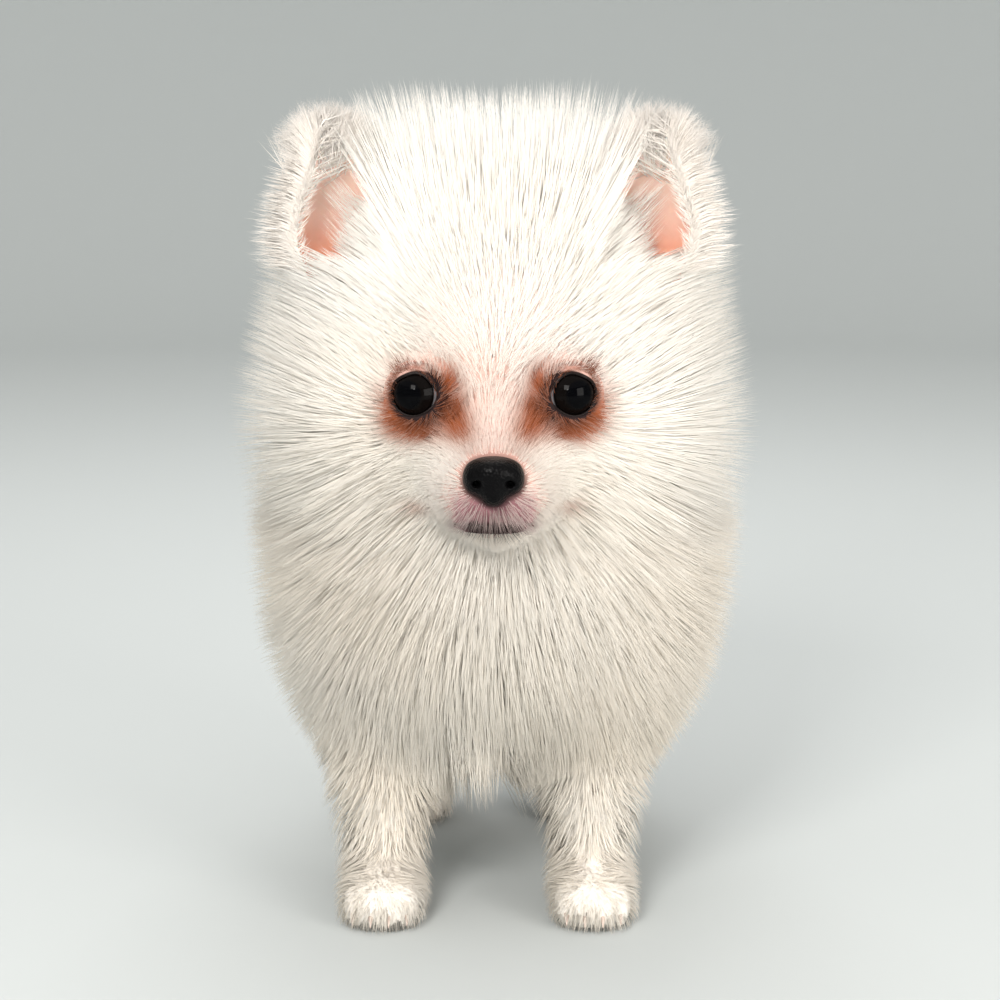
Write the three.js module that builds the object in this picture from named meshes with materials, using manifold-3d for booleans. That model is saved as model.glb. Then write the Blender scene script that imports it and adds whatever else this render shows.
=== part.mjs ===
// A pomeranian puppy, life size, standing four-square and looking ahead.
// Millimetres, +Z up, the animal faces -Y, its own left side is at +X.
// The origin is under the middle of the bounding box, at the floor.

import * as THREE from 'three';
import { mergeVertices } from 'three/addons/utils/BufferGeometryUtils.js';
import Module from 'manifold-3d';

const wasm = await Module();
wasm.setup();

// Driving dimensions

const gap = 0.32; // clearance between touching nodes
const eye = { x: 19.2, y: -50.2, z: 148, radius: 7.2, opening: 6.1, outward: 0.3 };
const nose = { y: -76.2, z: 130, width: 15.8, height: 13, depth: 11 };
const ear = {
  x: 38.5,
  y: -20,
  z: 184,
  height: 42,
  width: 26,
  depth: 9,
  wall: 4.6,
  sunk: 9,
  lean: 0.13,
  turn: 0.3,
  pitch: -0.1,
};
const stance = { rightX: -31, leftX: 27, foreY: -24, hindX: 26, hindY: 62 };
const paw = { width: 21, length: 28, height: 14 };
const coreShare = 0.46; // how far the solid core of the coat reaches from skin to tips
const faceDepth = 8; // where the coat is thinner than this, it grows no locks
const lowestTip = 31; // the bib and the belly end above this height
const lockSizes = {
  head: { count: 70, length: 32, width: 18 },
  neck: { count: 98, length: 32, width: 18 },
  torso: { count: 72, length: 34, width: 20 },
  tail: { rows: 4, round: 6, length: 27, width: 19 },
  ear: { count: 5, length: 17, width: 10 },
};
const legs = {
  fore: { heights: [66, 45, 28, 13], back: [8, 5, 3, 0], radii: [16, 14.5, 12.6, 11] },
  hind: { heights: [66, 46, 27, 13], back: [-6, 0, 10, 3], radii: [20, 17, 12, 10.5] },
};
const tail = {
  path: [
    [0, 74, 112],
    [0, 90, 130],
    [0, 90, 154],
    [0, 72, 168],
    [0, 50, 170],
  ],
  radii: [9, 9, 10, 9.5, 5],
};
const seed = 20260;

// Colours

const coatMaterial = new THREE.MeshStandardMaterial({ color: 0xefe8dc, roughness: 0.9, metalness: 0 });
const earMaterial = new THREE.MeshStandardMaterial({ color: 0xeebfae, roughness: 0.75, metalness: 0 });
const noseMaterial = new THREE.MeshStandardMaterial({ color: 0x15110f, roughness: 0.35, metalness: 0 });
const eyeMaterial = new THREE.MeshStandardMaterial({ color: 0x0b0706, roughness: 0.05, metalness: 0 });

// Small vector helpers

const vec = (x, y, z) => new THREE.Vector3(x, y, z);
const mix = THREE.MathUtils.lerp;
const clamp = THREE.MathUtils.clamp;
const up = vec(0, 0, 1);

function randomFrom(start) {
  let state = start >>> 0;
  return () => {
    state = (Math.imul(state, 1664525) + 1013904223) >>> 0;
    return state / 4294967296;
  };
}

const random = randomFrom(seed);
const vary = (amount) => 1 + amount * (2 * random() - 1);

// Closed meshes to solids and back

function toSolid(geometry) {
  const bare = geometry.clone();
  for (const name of Object.keys(bare.attributes)) {
    if (name !== 'position') bare.deleteAttribute(name);
  }
  const merged = mergeVertices(bare, 1e-4);
  const vertProperties = new Float32Array(merged.attributes.position.array);
  const triVerts = new Uint32Array(merged.index.array);
  const made = new wasm.Manifold(new wasm.Mesh({ numProp: 3, vertProperties, triVerts }));
  return made.volume() < 0 ? turnedOut(vertProperties, triVerts) : made;
}

function turnedOut(vertProperties, triVerts) {
  for (let i = 0; i < triVerts.length; i += 3) {
    [triVerts[i + 1], triVerts[i + 2]] = [triVerts[i + 2], triVerts[i + 1]];
  }
  return new wasm.Manifold(new wasm.Mesh({ numProp: 3, vertProperties, triVerts }));
}

function toGeometry(solid) {
  const mesh = solid.getMesh();
  const places = new Float32Array(mesh.numVert * 3);
  for (let i = 0; i < mesh.numVert; i++) {
    const start = i * mesh.numProp;
    places.set(mesh.vertProperties.subarray(start, start + 3), i * 3);
  }
  const geometry = new THREE.BufferGeometry();
  geometry.setAttribute('position', new THREE.BufferAttribute(places, 3));
  geometry.setIndex(new THREE.BufferAttribute(new Uint32Array(mesh.triVerts), 1));
  geometry.computeVertexNormals();
  return geometry;
}

const union = (solids) => wasm.Manifold.union(solids);

function largest(solid) {
  const bodies = solid.decompose();
  return bodies.reduce((best, body) => (body.volume() > best.volume() ? body : best));
}

function ellipsoidSolid(centre, radii, detail = 3) {
  const ball = new THREE.IcosahedronGeometry(1, detail);
  ball.scale(radii.x, radii.y, radii.z);
  ball.translate(centre.x, centre.y, centre.z);
  return toSolid(ball);
}

function roundSolid(centre, radii, sides) {
  const ball = new THREE.SphereGeometry(1, sides, Math.ceil(sides * 0.6));
  ball.rotateX(Math.PI / 2);
  ball.scale(radii.x, radii.y, radii.z);
  ball.translate(centre.x, centre.y, centre.z);
  return toSolid(ball);
}

function boxSolid(low, high) {
  const box = new THREE.BoxGeometry(high.x - low.x, high.y - low.y, high.z - low.z);
  box.translate((low.x + high.x) / 2, (low.y + high.y) / 2, (low.z + high.z) / 2);
  return toSolid(box);
}

// Forms that the fields are built from. Each gives a signed distance in mm.

const ball = (x, y, z, rx, ry, rz) => ({ centre: vec(x, y, z), radii: vec(rx, ry, rz) });
const limb = (from, to, r0, r1) => ({ from: vec(...from), to: vec(...to), r0, r1 });
const pair = (make) => [make(-1), make(1)];

function distanceTo(form, p) {
  if (form.radii) {
    const q = p.clone().sub(form.centre);
    const k0 = Math.hypot(q.x / form.radii.x, q.y / form.radii.y, q.z / form.radii.z);
    const k1 = Math.hypot(q.x / form.radii.x ** 2, q.y / form.radii.y ** 2, q.z / form.radii.z ** 2);
    return k1 < 1e-9 ? -Math.min(form.radii.x, form.radii.y, form.radii.z) : (k0 * (k0 - 1)) / k1;
  }
  const along = form.to.clone().sub(form.from);
  const t = clamp(p.clone().sub(form.from).dot(along) / along.lengthSq(), 0, 1);
  return p.distanceTo(form.from.clone().addScaledVector(along, t)) - mix(form.r0, form.r1, t);
}

function blended(forms, p, softness) {
  let nearest = Infinity;
  for (const form of forms) {
    const d = distanceTo(form, p);
    const h = Math.max(softness - Math.abs(d - nearest), 0) / softness;
    nearest = Math.min(d, nearest) - (h * h * softness) / 4;
  }
  return nearest;
}

// The flesh under the coat

const side = (s) => (s < 0 ? stance.rightX : stance.leftX);

const headFlesh = [
  ball(0, -22, 158, 32, 34, 33),
  ...pair((s) => ball(16 * s, -36, 140, 17, 20, 17)),
  limb([0, -46, 133], [0, -66, 129], 15.5, 9.5),
  ...pair((s) => limb([10 * s, -50, 126], [6.2 * s, -67, 125], 9.5, 7.8)),
  limb([0, -44, 122], [0, -65, 119.5], 12, 6.5),
];
const neckFlesh = [limb([0, -12, 142], [0, 12, 105], 27, 31)];
const torsoFlesh = [
  ball(0, -4, 90, 31, 34, 33),
  ball(0, 20, 88, 31, 38, 31),
  ball(0, 40, 86, 28, 30, 28),
  ball(0, 56, 90, 29, 25, 30),
  ...pair((s) => ball(25 * s, -12, 76, 12, 17, 26)),
  ...pair((s) => ball(22 * s, 54, 72, 14, 22, 26)),
];
const flesh = [...headFlesh, ...neckFlesh, ...torsoFlesh];

// The outline that the tips of the coat reach

const headCoat = [
  ball(0, -4, 166, 64, 42, 59),
  ...pair((s) => ball(31 * s, -6, 190, 29, 27, 33)),
  ball(0, -22, 160, 38.5, 38, 38),
  ...pair((s) => ball(33 * s, -20, 136, 34, 31, 35)),
  ...pair((s) => ball(16 * s, -36, 140, 20, 22.5, 20)),
  limb([0, -46, 133], [0, -66, 129], 18, 11),
  ...pair((s) => limb([10 * s, -50, 126], [6.2 * s, -67, 125], 13, 9.6)),
  limb([0, -44, 122], [0, -65, 119.5], 16, 8.4),
];
const neckCoat = [ball(0, 0, 122, 67, 50, 55)];
const torsoCoat = [
  ball(0, -16, 90, 56, 43, 52),
  ...pair((s) => ball(30 * s, -6, 76, 32, 35, 43)),
  ball(0, 26, 92, 62, 56, 54),
  ball(0, 58, 86, 52, 40, 49),
];
const coat = [...headCoat, ...neckCoat, ...torsoCoat];

const fleshAt = (p) => blended(flesh, p, 8);
const coatAt = (p) => blended(coat, p, 10);

// 0 at the skin, 1 at the tips of the coat
function coatShare(p) {
  const fromSkin = fleshAt(p);
  const toTips = coatAt(p);
  const depth = Math.max(fromSkin - toTips, 1.5);
  return fromSkin / depth;
}

function slope(field, p) {
  const e = 0.4;
  const at = (x, y, z) => field(vec(p.x + x, p.y + y, p.z + z));
  return vec(at(e, 0, 0) - at(-e, 0, 0), at(0, e, 0) - at(0, -e, 0), at(0, 0, e) - at(0, 0, -e)).normalize();
}

// A closed body whose surface is where the field crosses the level, seen from one centre

function castOut(field, level, centre, direction, reach) {
  const step = 1.5;
  let outside = reach;
  while (outside > step && field(centre.clone().addScaledVector(direction, outside)) > level) outside -= step;
  let inside = outside;
  outside += step;
  for (let i = 0; i < 14; i++) {
    const middle = (inside + outside) / 2;
    if (field(centre.clone().addScaledVector(direction, middle)) > level) outside = middle;
    else inside = middle;
  }
  return centre.clone().addScaledVector(direction, inside);
}

function castBody(field, level, centre, stretch, detail, reach = 130) {
  const sphere = new THREE.IcosahedronGeometry(1, detail);
  sphere.deleteAttribute('normal');
  sphere.deleteAttribute('uv');
  const geometry = mergeVertices(sphere, 1e-4);
  const places = geometry.attributes.position;
  for (let i = 0; i < places.count; i++) {
    const direction = vec(places.getX(i), places.getY(i), places.getZ(i)).multiply(stretch).normalize();
    const hit = castOut(field, level, centre, direction, reach);
    places.setXYZ(i, hit.x, hit.y, hit.z);
  }
  return toSolid(geometry);
}

// The lie of the coat: away from the nose on the head, back and down on the body

const muzzleTip = vec(0, -80, 130);

function lieOnHead(p) {
  const away = p.clone().sub(muzzleTip).normalize();
  const sideways = clamp(Math.abs(p.x) / 45, 0, 1);
  const low = clamp((150 - p.z) / 40, 0, 1);
  away.z += 0.35 * (1 - sideways) - 0.75 * low * sideways;
  away.y += 0.25;
  return away;
}

function lieOnNeck(p) {
  const outward = p.clone().sub(mane.middle);
  outward.addScaledVector(mane.axis, -outward.dot(mane.axis)).normalize();
  return outward.multiplyScalar(0.35).add(mane.axis);
}

function lieOnBody(p) {
  const front = clamp((-20 - p.y) / 30, 0, 1);
  return vec(0.12 * Math.sign(p.x) * front, mix(0.85, 0.1, front), mix(-0.5, -1, front));
}

// A flat, tapered lock: it leaves the core, bends along the lie and ends in a point on the outline

function lockSolid(root, bend, tip, width, thickness, broad) {
  const rings = [0, 0.34, 0.7];
  const fullness = [0.72, 1, 0.66];
  const curve = new THREE.QuadraticBezierCurve3(root, bend, tip);
  const places = [];
  rings.forEach((t, k) => {
    const centre = curve.getPoint(t);
    const along = curve.getTangent(t);
    const across = broad.clone().addScaledVector(along, -broad.dot(along)).normalize();
    const out = along.clone().cross(across);
    const w = (width / 2) * fullness[k];
    const h = thickness * fullness[k];
    places.push(centre.clone().addScaledVector(across, w).addScaledVector(out, -0.35 * h));
    places.push(centre.clone().addScaledVector(out, 0.65 * h));
    places.push(centre.clone().addScaledVector(across, -w).addScaledVector(out, -0.35 * h));
  });
  places.push(tip);
  const index = [0, 2, 1];
  for (let k = 0; k + 1 < rings.length; k++) {
    for (let j = 0; j < 3; j++) {
      const a = 3 * k + j;
      const b = 3 * k + ((j + 1) % 3);
      index.push(a, b, b + 3, a, b + 3, a + 3);
    }
  }
  const last = 3 * (rings.length - 1);
  for (let j = 0; j < 3; j++) index.push(last + j, last + ((j + 1) % 3), places.length - 1);
  const geometry = new THREE.BufferGeometry().setFromPoints(places);
  geometry.setIndex(index);
  return toSolid(geometry);
}

// A point moved along the slope of the coat until it lies at a share of the coat's depth

function atShare(p, share) {
  const moved = p.clone();
  for (let i = 0; i < 12; i++) {
    const out = slope(coatShare, moved);
    const depth = Math.max(fleshAt(moved) - coatAt(moved), 1.5);
    moved.addScaledVector(out, clamp((share - coatShare(moved)) * depth, -6, 6));
  }
  return moved;
}

function coatLock(root, lie, length, width, tipShare) {
  const out = slope(coatShare, root);
  const along = lie.clone().addScaledVector(out, -lie.dot(out)).normalize();
  const tip = atShare(root.clone().addScaledVector(along, length), tipShare);
  const bend = atShare(root.clone().addScaledVector(along, length * 0.42), mix(coreShare, tipShare, 0.85));
  const start = root.clone().addScaledVector(out, -5).addScaledVector(along, -2);
  const broad = along.clone().cross(out).normalize();
  broad.addScaledVector(out, 0.35 * (2 * random() - 1)).normalize();
  return { solid: lockSolid(start, bend, tip, width, width * 0.3, broad), tip };
}

// Directions spread evenly over a sphere
function evenDirections(count) {
  const golden = Math.PI * (3 - Math.sqrt(5));
  return Array.from({ length: count }, (_, i) => {
    const z = 1 - (2 * i + 1) / count;
    const r = Math.sqrt(1 - z * z);
    return vec(r * Math.cos(golden * i), r * Math.sin(golden * i), z);
  });
}

function coatLocks(centre, stretch, lieAt, { count, length, width, rootAllowed, tipAllowed }) {
  const solids = [];
  for (const direction of evenDirections(count)) {
    const ray = direction.multiply(stretch).normalize();
    const root = castOut(coatShare, coreShare, centre, ray, 130);
    if (!rootAllowed(root)) continue;
    const ownLength = length * vary(0.15);
    const ownWidth = width * vary(0.15);
    const reach = 1 - 0.06 * random();
    for (const part of [1, 0.8, 0.62, 0.45]) {
      const made = coatLock(root, lieAt(root), ownLength * part, ownWidth * mix(1, part, 0.5), reach);
      if (!tipAllowed(made.tip)) continue;
      solids.push(made.solid);
      break;
    }
  }
  return solids;
}

// Regions that part the coat of head, neck and torso

const headBall = { centre: vec(0, -12, 178), radii: vec(92, 64, 62) };
const faceBall = { centre: vec(0, -46, 141), radii: vec(41, 60, 36) };

function headRegion(grow) {
  const region = [headBall, faceBall].map(({ centre, radii }) =>
    ellipsoidSolid(centre, radii.clone().addScalar(grow), 4),
  );
  return union(region);
}

const mane = { middle: vec(0, 4.7, 116.7), axis: vec(0, 0.536, -0.844).normalize(), throat: 30, flare: 0.55 };

// The space in front of a funnel that follows the lie of the mane
function maneRegion(grow) {
  const rim = 140;
  const edge = (rim - mane.throat) * mane.flare + grow;
  const profile = [
    new THREE.Vector2(0, -160),
    new THREE.Vector2(rim, -160),
    new THREE.Vector2(rim, edge),
    new THREE.Vector2(mane.throat, grow),
    new THREE.Vector2(0, grow),
  ];
  const lathe = new THREE.LatheGeometry(profile, 28);
  const turn = new THREE.Quaternion().setFromUnitVectors(vec(0, 1, 0), mane.axis);
  lathe.applyQuaternion(turn);
  lathe.translate(mane.middle.x, mane.middle.y, mane.middle.z);
  return toSolid(lathe);
}

function alongMane(p) {
  const q = p.clone().sub(mane.middle);
  const s = q.dot(mane.axis);
  const radius = q.addScaledVector(mane.axis, -s).length();
  return s - Math.max(radius - mane.throat, 0) * mane.flare;
}

// Below 1 inside the space of the head, above 1 outside it
function headSpan(p) {
  return Math.min(
    ...[headBall, faceBall].map(({ centre, radii }) => p.clone().sub(centre).divide(radii).length()),
  );
}

// Ears: a cup open to the front, with a fringe of locks behind its rim

// u runs across the cup from inner to outer edge, v from base to tip, wall from 0 inside to 1 outside
function earHalf(v) {
  const taper = 0.5 + 0.5 * Math.cos(Math.PI * clamp((v - 0.25) / 0.8, 0, 1));
  return (ear.width / 2) * (0.16 + 0.84 * taper) * (v < 0.25 ? mix(0.86, 1, v / 0.25) : 1);
}

function earPlace(s, place) {
  place.applyAxisAngle(up, -ear.turn * s);
  place.applyAxisAngle(vec(0, 1, 0), ear.lean * s);
  place.applyAxisAngle(vec(1, 0, 0), ear.pitch);
  return place.add(vec(ear.x * s, ear.y, ear.z - ear.sunk));
}

function earPoint(s, u, v, wall, grow) {
  const half = earHalf(v);
  const angle = (u - 0.5) * Math.PI * 0.94;
  const thick = ear.wall * (1 - 0.45 * v) + 2 * grow;
  const radial = half - grow + wall * thick;
  const bowl = (ear.depth / (ear.width / 2)) * radial * Math.cos(angle);
  return earPlace(s, vec(s * radial * Math.sin(angle), bowl, v * ear.height - 2.5 * v * Math.cos(angle)));
}

// The clear space in front of the cup, where the coat stands back from its opening
function earWindow(s) {
  const shape = new THREE.Shape();
  const levels = [0.3, 0.45, 0.6, 0.75, 0.9];
  const outer = levels.map((v) => new THREE.Vector2(earHalf(v) - 0.2, v * ear.height));
  const inner = levels.map((v) => new THREE.Vector2(-earHalf(v) + 0.2, v * ear.height)).reverse();
  shape.setFromPoints([...outer, ...inner]);
  const block = new THREE.ExtrudeGeometry(shape, { depth: 45, bevelEnabled: false });
  block.rotateX(Math.PI / 2);
  block.translate(0, 4, 0);
  const places = block.attributes.position;
  for (let i = 0; i < places.count; i++) {
    const flare = 1 + 0.012 * Math.max(-places.getY(i), 0);
    const place = vec(places.getX(i) * flare, places.getY(i), places.getZ(i));
    earPlace(s, place);
    places.setXYZ(i, place.x, place.y, place.z);
  }
  return toSolid(block);
}

function earCup(s, grow = 0) {
  const across = 8;
  const rows = 5;
  const places = [];
  for (const wall of [0, 1]) {
    for (let j = 0; j <= rows; j++) {
      for (let i = 0; i <= across; i++) {
        const v = mix(-grow / ear.height, 1 + grow / ear.height, j / rows);
        const over = grow / (earHalf(v) * Math.PI * 0.94);
        places.push(earPoint(s, mix(-over, 1 + over, i / across), v, wall, grow));
      }
    }
  }
  const sheet = (across + 1) * (rows + 1);
  const at = (k, i, j) => k * sheet + j * (across + 1) + i;
  const index = [];
  const quad = (a, b, c, d) => index.push(a, b, c, a, c, d);
  for (let j = 0; j < rows; j++) {
    for (let i = 0; i < across; i++) {
      quad(at(0, i, j), at(0, i + 1, j), at(0, i + 1, j + 1), at(0, i, j + 1));
      quad(at(1, i, j), at(1, i, j + 1), at(1, i + 1, j + 1), at(1, i + 1, j));
    }
    quad(at(0, 0, j), at(0, 0, j + 1), at(1, 0, j + 1), at(1, 0, j));
    quad(at(0, across, j), at(1, across, j), at(1, across, j + 1), at(0, across, j + 1));
  }
  for (let i = 0; i < across; i++) {
    quad(at(0, i, 0), at(1, i, 0), at(1, i + 1, 0), at(0, i + 1, 0));
    quad(at(0, i, rows), at(0, i + 1, rows), at(1, i + 1, rows), at(1, i, rows));
  }
  const geometry = new THREE.BufferGeometry().setFromPoints(places);
  geometry.setIndex(index);
  return toSolid(geometry);
}

// Paws: a pad with four toes and short claws, flat underneath

function pawSolid(x, y) {
  const toes = [-1.5, -0.5, 0.5, 1.5];
  const parts = [roundSolid(vec(x, y, 6), vec(paw.width / 2, paw.length / 2 - 2, paw.height / 2), 9)];
  for (const k of toes) {
    const toeX = x + k * paw.width * 0.235;
    const toeY = y - paw.length / 2 + 3 + 1.6 * Math.abs(k);
    parts.push(roundSolid(vec(toeX, toeY, 4.3), vec(3.2, 5.4, 5), 6));
    const claw = new THREE.ConeGeometry(1, 5, 4);
    claw.rotateX(2.0);
    claw.translate(toeX, toeY - 5.4, 3);
    parts.push(toSolid(claw));
  }
  return union(parts);
}

const floor = boxSolid(vec(-200, -200, 0), vec(200, 300, 400));

// A round body along a smooth path, its radius read from a list, closed by small caps
function loftSolid(path, radii, grow = 0, sides = 10, steps = 6) {
  const curve = new THREE.CatmullRomCurve3(path.map((p) => vec(...p)));
  const places = [];
  const index = [];
  const radiusAt = (t) => {
    const place = t * (radii.length - 1);
    const k = Math.min(Math.floor(place), radii.length - 2);
    return mix(radii[k], radii[k + 1], place - k) + grow;
  };
  for (let k = 0; k <= steps; k++) {
    const t = k / steps;
    const centre = curve.getPoint(t);
    const along = curve.getTangent(t);
    const across = vec(1, 0, 0).addScaledVector(along, -along.x).normalize();
    const out = along.clone().cross(across);
    for (let j = 0; j < sides; j++) {
      const angle = (2 * Math.PI * j) / sides;
      const place = centre.clone().addScaledVector(across, radiusAt(t) * Math.cos(angle));
      places.push(place.addScaledVector(out, radiusAt(t) * Math.sin(angle)));
    }
  }
  for (let k = 0; k < steps; k++) {
    for (let j = 0; j < sides; j++) {
      const a = k * sides + j;
      const b = k * sides + ((j + 1) % sides);
      index.push(a, b, b + sides, a, b + sides, a + sides);
    }
  }
  const start = curve.getPoint(0).addScaledVector(curve.getTangent(0), -0.5 * radiusAt(0));
  const end = curve.getPoint(1).addScaledVector(curve.getTangent(1), 0.5 * radiusAt(1));
  places.push(start, end);
  const last = steps * sides;
  for (let j = 0; j < sides; j++) {
    const next = (j + 1) % sides;
    index.push(next, j, places.length - 2, last + j, last + next, places.length - 1);
  }
  const geometry = new THREE.BufferGeometry().setFromPoints(places);
  geometry.setIndex(index);
  return toSolid(geometry);
}

// A lock that is not tied to the coat of the body: out from its root, then along
function plainLock(root, out, along, length, width, grow = 0) {
  const reach = length + 2 * grow;
  const tip = root.clone().addScaledVector(out, reach * 0.62).addScaledVector(along, reach * 0.72);
  const bend = root.clone().addScaledVector(out, length * 0.5).addScaledVector(along, length * 0.12);
  const start = root.clone().addScaledVector(out, -1 - grow);
  const broad = out.clone().cross(along).normalize();
  return lockSolid(start, bend, tip, width + 6 * grow, width * 0.3 + 3 * grow, broad);
}

const group = new THREE.Group();
const add = (name, solid, material) => {
  const mesh = new THREE.Mesh(toGeometry(largest(solid)), material);
  mesh.name = name;
  group.add(mesh);
};

// Eyes

const eyeCentre = (s) => vec(eye.x * s, eye.y, eye.z);
const eyeSolids = pair((s) => ellipsoidSolid(eyeCentre(s), vec(1, 1, 1).multiplyScalar(eye.radius), 2));

const lookAhead = (s) => vec(s * Math.sin(eye.outward), -Math.cos(eye.outward), 0.06).normalize();

function lidRing(s) {
  const look = lookAhead(s);
  const ring = new THREE.TorusGeometry(eye.opening + 0.6, 1.5, 6, 16);
  ring.scale(1.06, 0.98, 1);
  const turn = new THREE.Quaternion().setFromUnitVectors(vec(0, 0, 1), look);
  ring.applyQuaternion(turn);
  const middle = eyeCentre(s).addScaledVector(look, 3.6);
  ring.translate(middle.x, middle.y, middle.z);
  return toSolid(ring);
}

// The opening between the lids, wider outwards
function eyeOpening(s) {
  const look = lookAhead(s);
  const cone = new THREE.CylinderGeometry(eye.opening + 4, eye.opening - 0.4, 12, 20);
  cone.applyQuaternion(new THREE.Quaternion().setFromUnitVectors(vec(0, 1, 0), look));
  const middle = eyeCentre(s).addScaledVector(look, 10);
  cone.translate(middle.x, middle.y, middle.z);
  return toSolid(cone);
}

// Nose leather with two nostrils and a middle groove

function noseForm(grow) {
  const shape = new THREE.Shape();
  const w = nose.width / 2 + grow;
  const h = nose.height / 2 + grow;
  shape.moveTo(-0.72 * w, h);
  shape.quadraticCurveTo(0, 1.12 * h, 0.72 * w, h);
  shape.quadraticCurveTo(1.06 * w, 0.8 * h, w, 0.1 * h);
  shape.quadraticCurveTo(0.9 * w, -0.5 * h, 0.22 * w, -h);
  shape.quadraticCurveTo(0, -1.08 * h, -0.22 * w, -h);
  shape.quadraticCurveTo(-0.9 * w, -0.5 * h, -w, 0.1 * h);
  shape.quadraticCurveTo(-1.06 * w, 0.8 * h, -0.72 * w, h);
  const block = new THREE.ExtrudeGeometry(shape, {
    depth: nose.depth - 6 + 2 * grow,
    bevelEnabled: true,
    bevelThickness: 3,
    bevelSize: 2.4,
    bevelOffset: -2.4,
    bevelSegments: 2,
    curveSegments: 3,
  });
  block.rotateX(Math.PI / 2);
  block.translate(0, nose.y + nose.depth / 2 - 3 + grow, nose.z);
  return toSolid(block);
}

function nostril(s) {
  const bore = new THREE.CapsuleGeometry(1.6, 3, 3, 8);
  bore.rotateZ(0.5 * s);
  bore.rotateX(0.25);
  bore.translate(4.1 * s, nose.y - nose.depth / 2 + 0.6, nose.z - 0.6);
  const slit = new THREE.CapsuleGeometry(0.9, 4, 2, 6);
  slit.rotateZ(1.15 * s);
  slit.translate(6.6 * s, nose.y - nose.depth / 2 + 1.6, nose.z - 1.6);
  return [toSolid(bore), toSolid(slit)];
}

// The line of the mouth: from corner to corner round the front of the muzzle, on its surface

function onFace(x, z) {
  const centre = vec(0, -48, 122);
  const direction = vec(x, -25, z - 122).normalize();
  return castOut(coatShare, coreShare, centre, direction, 60);
}

function mouthTube(radius, outward) {
  const places = [];
  for (let k = -6; k <= 6; k++) {
    const share = k / 6;
    const hit = onFace(34 * share * Math.abs(share) ** 0.3, 117.2 - 1.6 * Math.sin(Math.PI * share * share));
    places.push(hit.add(hit.clone().sub(vec(0, -48, 122)).normalize().multiplyScalar(outward)));
  }
  const section = new THREE.Shape();
  section.absarc(0, 0, radius, 0, 2 * Math.PI);
  const path = new THREE.CatmullRomCurve3(places);
  const tube = new THREE.ExtrudeGeometry(section, { steps: 12, extrudePath: path, curveSegments: 3 });
  return toSolid(tube);
}

// Eyes, nose and ears

add('eye_right', eyeSolids[0], eyeMaterial);
add('eye_left', eyeSolids[1], eyeMaterial);
add('nose', noseForm(0).subtract(union([...nostril(-1), ...nostril(1)])), noseMaterial);

const fringeSizes = pair(() =>
  Array.from({ length: lockSizes.ear.count }, () => [
    lockSizes.ear.length * vary(0.1),
    lockSizes.ear.width * vary(0.15),
  ]),
);

function earFringe(s, grow) {
  return fringeSizes[s < 0 ? 0 : 1].map(([length, width], k) => {
    const u = 0.2 + 0.16 * k;
    const v = 0.5 + 0.4 * Math.sin(Math.PI * u);
    const root = earPoint(s, u, v, 0.6, 0);
    const out = earPoint(s, u, v, 6, 0).sub(root).normalize();
    const along = vec(0.25 * s, 0.1, 1).normalize();
    return plainLock(root, out.multiplyScalar(0.45), along, length, width, grow);
  });
}

const ears = pair((s) => union([earCup(s), ...earFringe(s, 0)]));
const earRooms = pair((s) => [earCup(s, gap), ...earFringe(s, gap)]).flat();

// Head

const headCentre = vec(0, -36, 142);
const inFace = (p) => coatAt(p) - fleshAt(p) > -faceDepth || p.y < -52;
const headLocks = coatLocks(vec(0, -20, 158), vec(1, 1, 1), lieOnHead, {
  ...lockSizes.head,
  rootAllowed: (root) => headSpan(root) < 0.97 && !inFace(root),
  tipAllowed: (tip) => headSpan(tip) < 0.995,
});
const sockets = pair((s) => ellipsoidSolid(eyeCentre(s), vec(1, 1, 1).multiplyScalar(eye.radius + gap), 2));
const openings = pair((s) => [eyeOpening(s), earWindow(s)]).flat();
const headCore = castBody(coatShare, coreShare, headCentre, vec(1, 1, 1), 7);
const headForm = union([headCore, lidRing(-1), lidRing(1), mouthTube(1.5, 0), ...headLocks]);
const headCuts = [...sockets, ...openings, ...earRooms, noseForm(gap), mouthTube(0.7, 1.3)];
add('head', headForm.intersect(headRegion(0)).subtract(union(headCuts)), coatMaterial);
ears.forEach((cup, i) => add(i ? 'ear_left' : 'ear_right', cup, earMaterial));

// Neck, with the ruff and the bib

const neckCentre = vec(0, 0, 124);
const neckLocks = coatLocks(neckCentre, vec(1, 1, 1), lieOnNeck, {
  ...lockSizes.neck,
  rootAllowed: (root) => headSpan(root) > 1 && alongMane(root) < 0,
  tipAllowed: (tip) => headSpan(tip) > 1 && alongMane(tip) < 1,
});
const neckForm = union([castBody(coatShare, coreShare, neckCentre, vec(1, 1, 1), 6), ...neckLocks]);
add('neck', neckForm.intersect(maneRegion(0)).subtract(headRegion(gap)), coatMaterial);

// Legs and paws

const hindX = (s) => stance.hindX * s;
const legPath = ({ heights, back }, x, y) => heights.map((z, k) => [x, y + back[k], z]);
const foreLeg = (s, grow) => loftSolid(legPath(legs.fore, side(s), stance.foreY), legs.fore.radii, grow);
const hindLeg = (s, grow) => loftSolid(legPath(legs.hind, hindX(s), stance.hindY), legs.hind.radii, grow);
const pawRoom = (x, y) => ellipsoidSolid(vec(x, y, 6.4), vec(paw.width / 2 + 1.2, paw.length / 2, 8.2), 3);

function addLeg(name, sideName, leg, x, y) {
  add(`${name}leg_${sideName}`, leg.subtract(pawRoom(x, y)), coatMaterial);
  add(`${name}paw_${sideName}`, pawSolid(x, y).intersect(floor), coatMaterial);
}

for (const s of [-1, 1]) {
  const sideName = s < 0 ? 'right' : 'left';
  addLeg('fore', sideName, foreLeg(s, 0), side(s), stance.foreY - 6);
  addLeg('hind', sideName, hindLeg(s, 0), hindX(s), stance.hindY - 4);
}

// Torso

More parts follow.
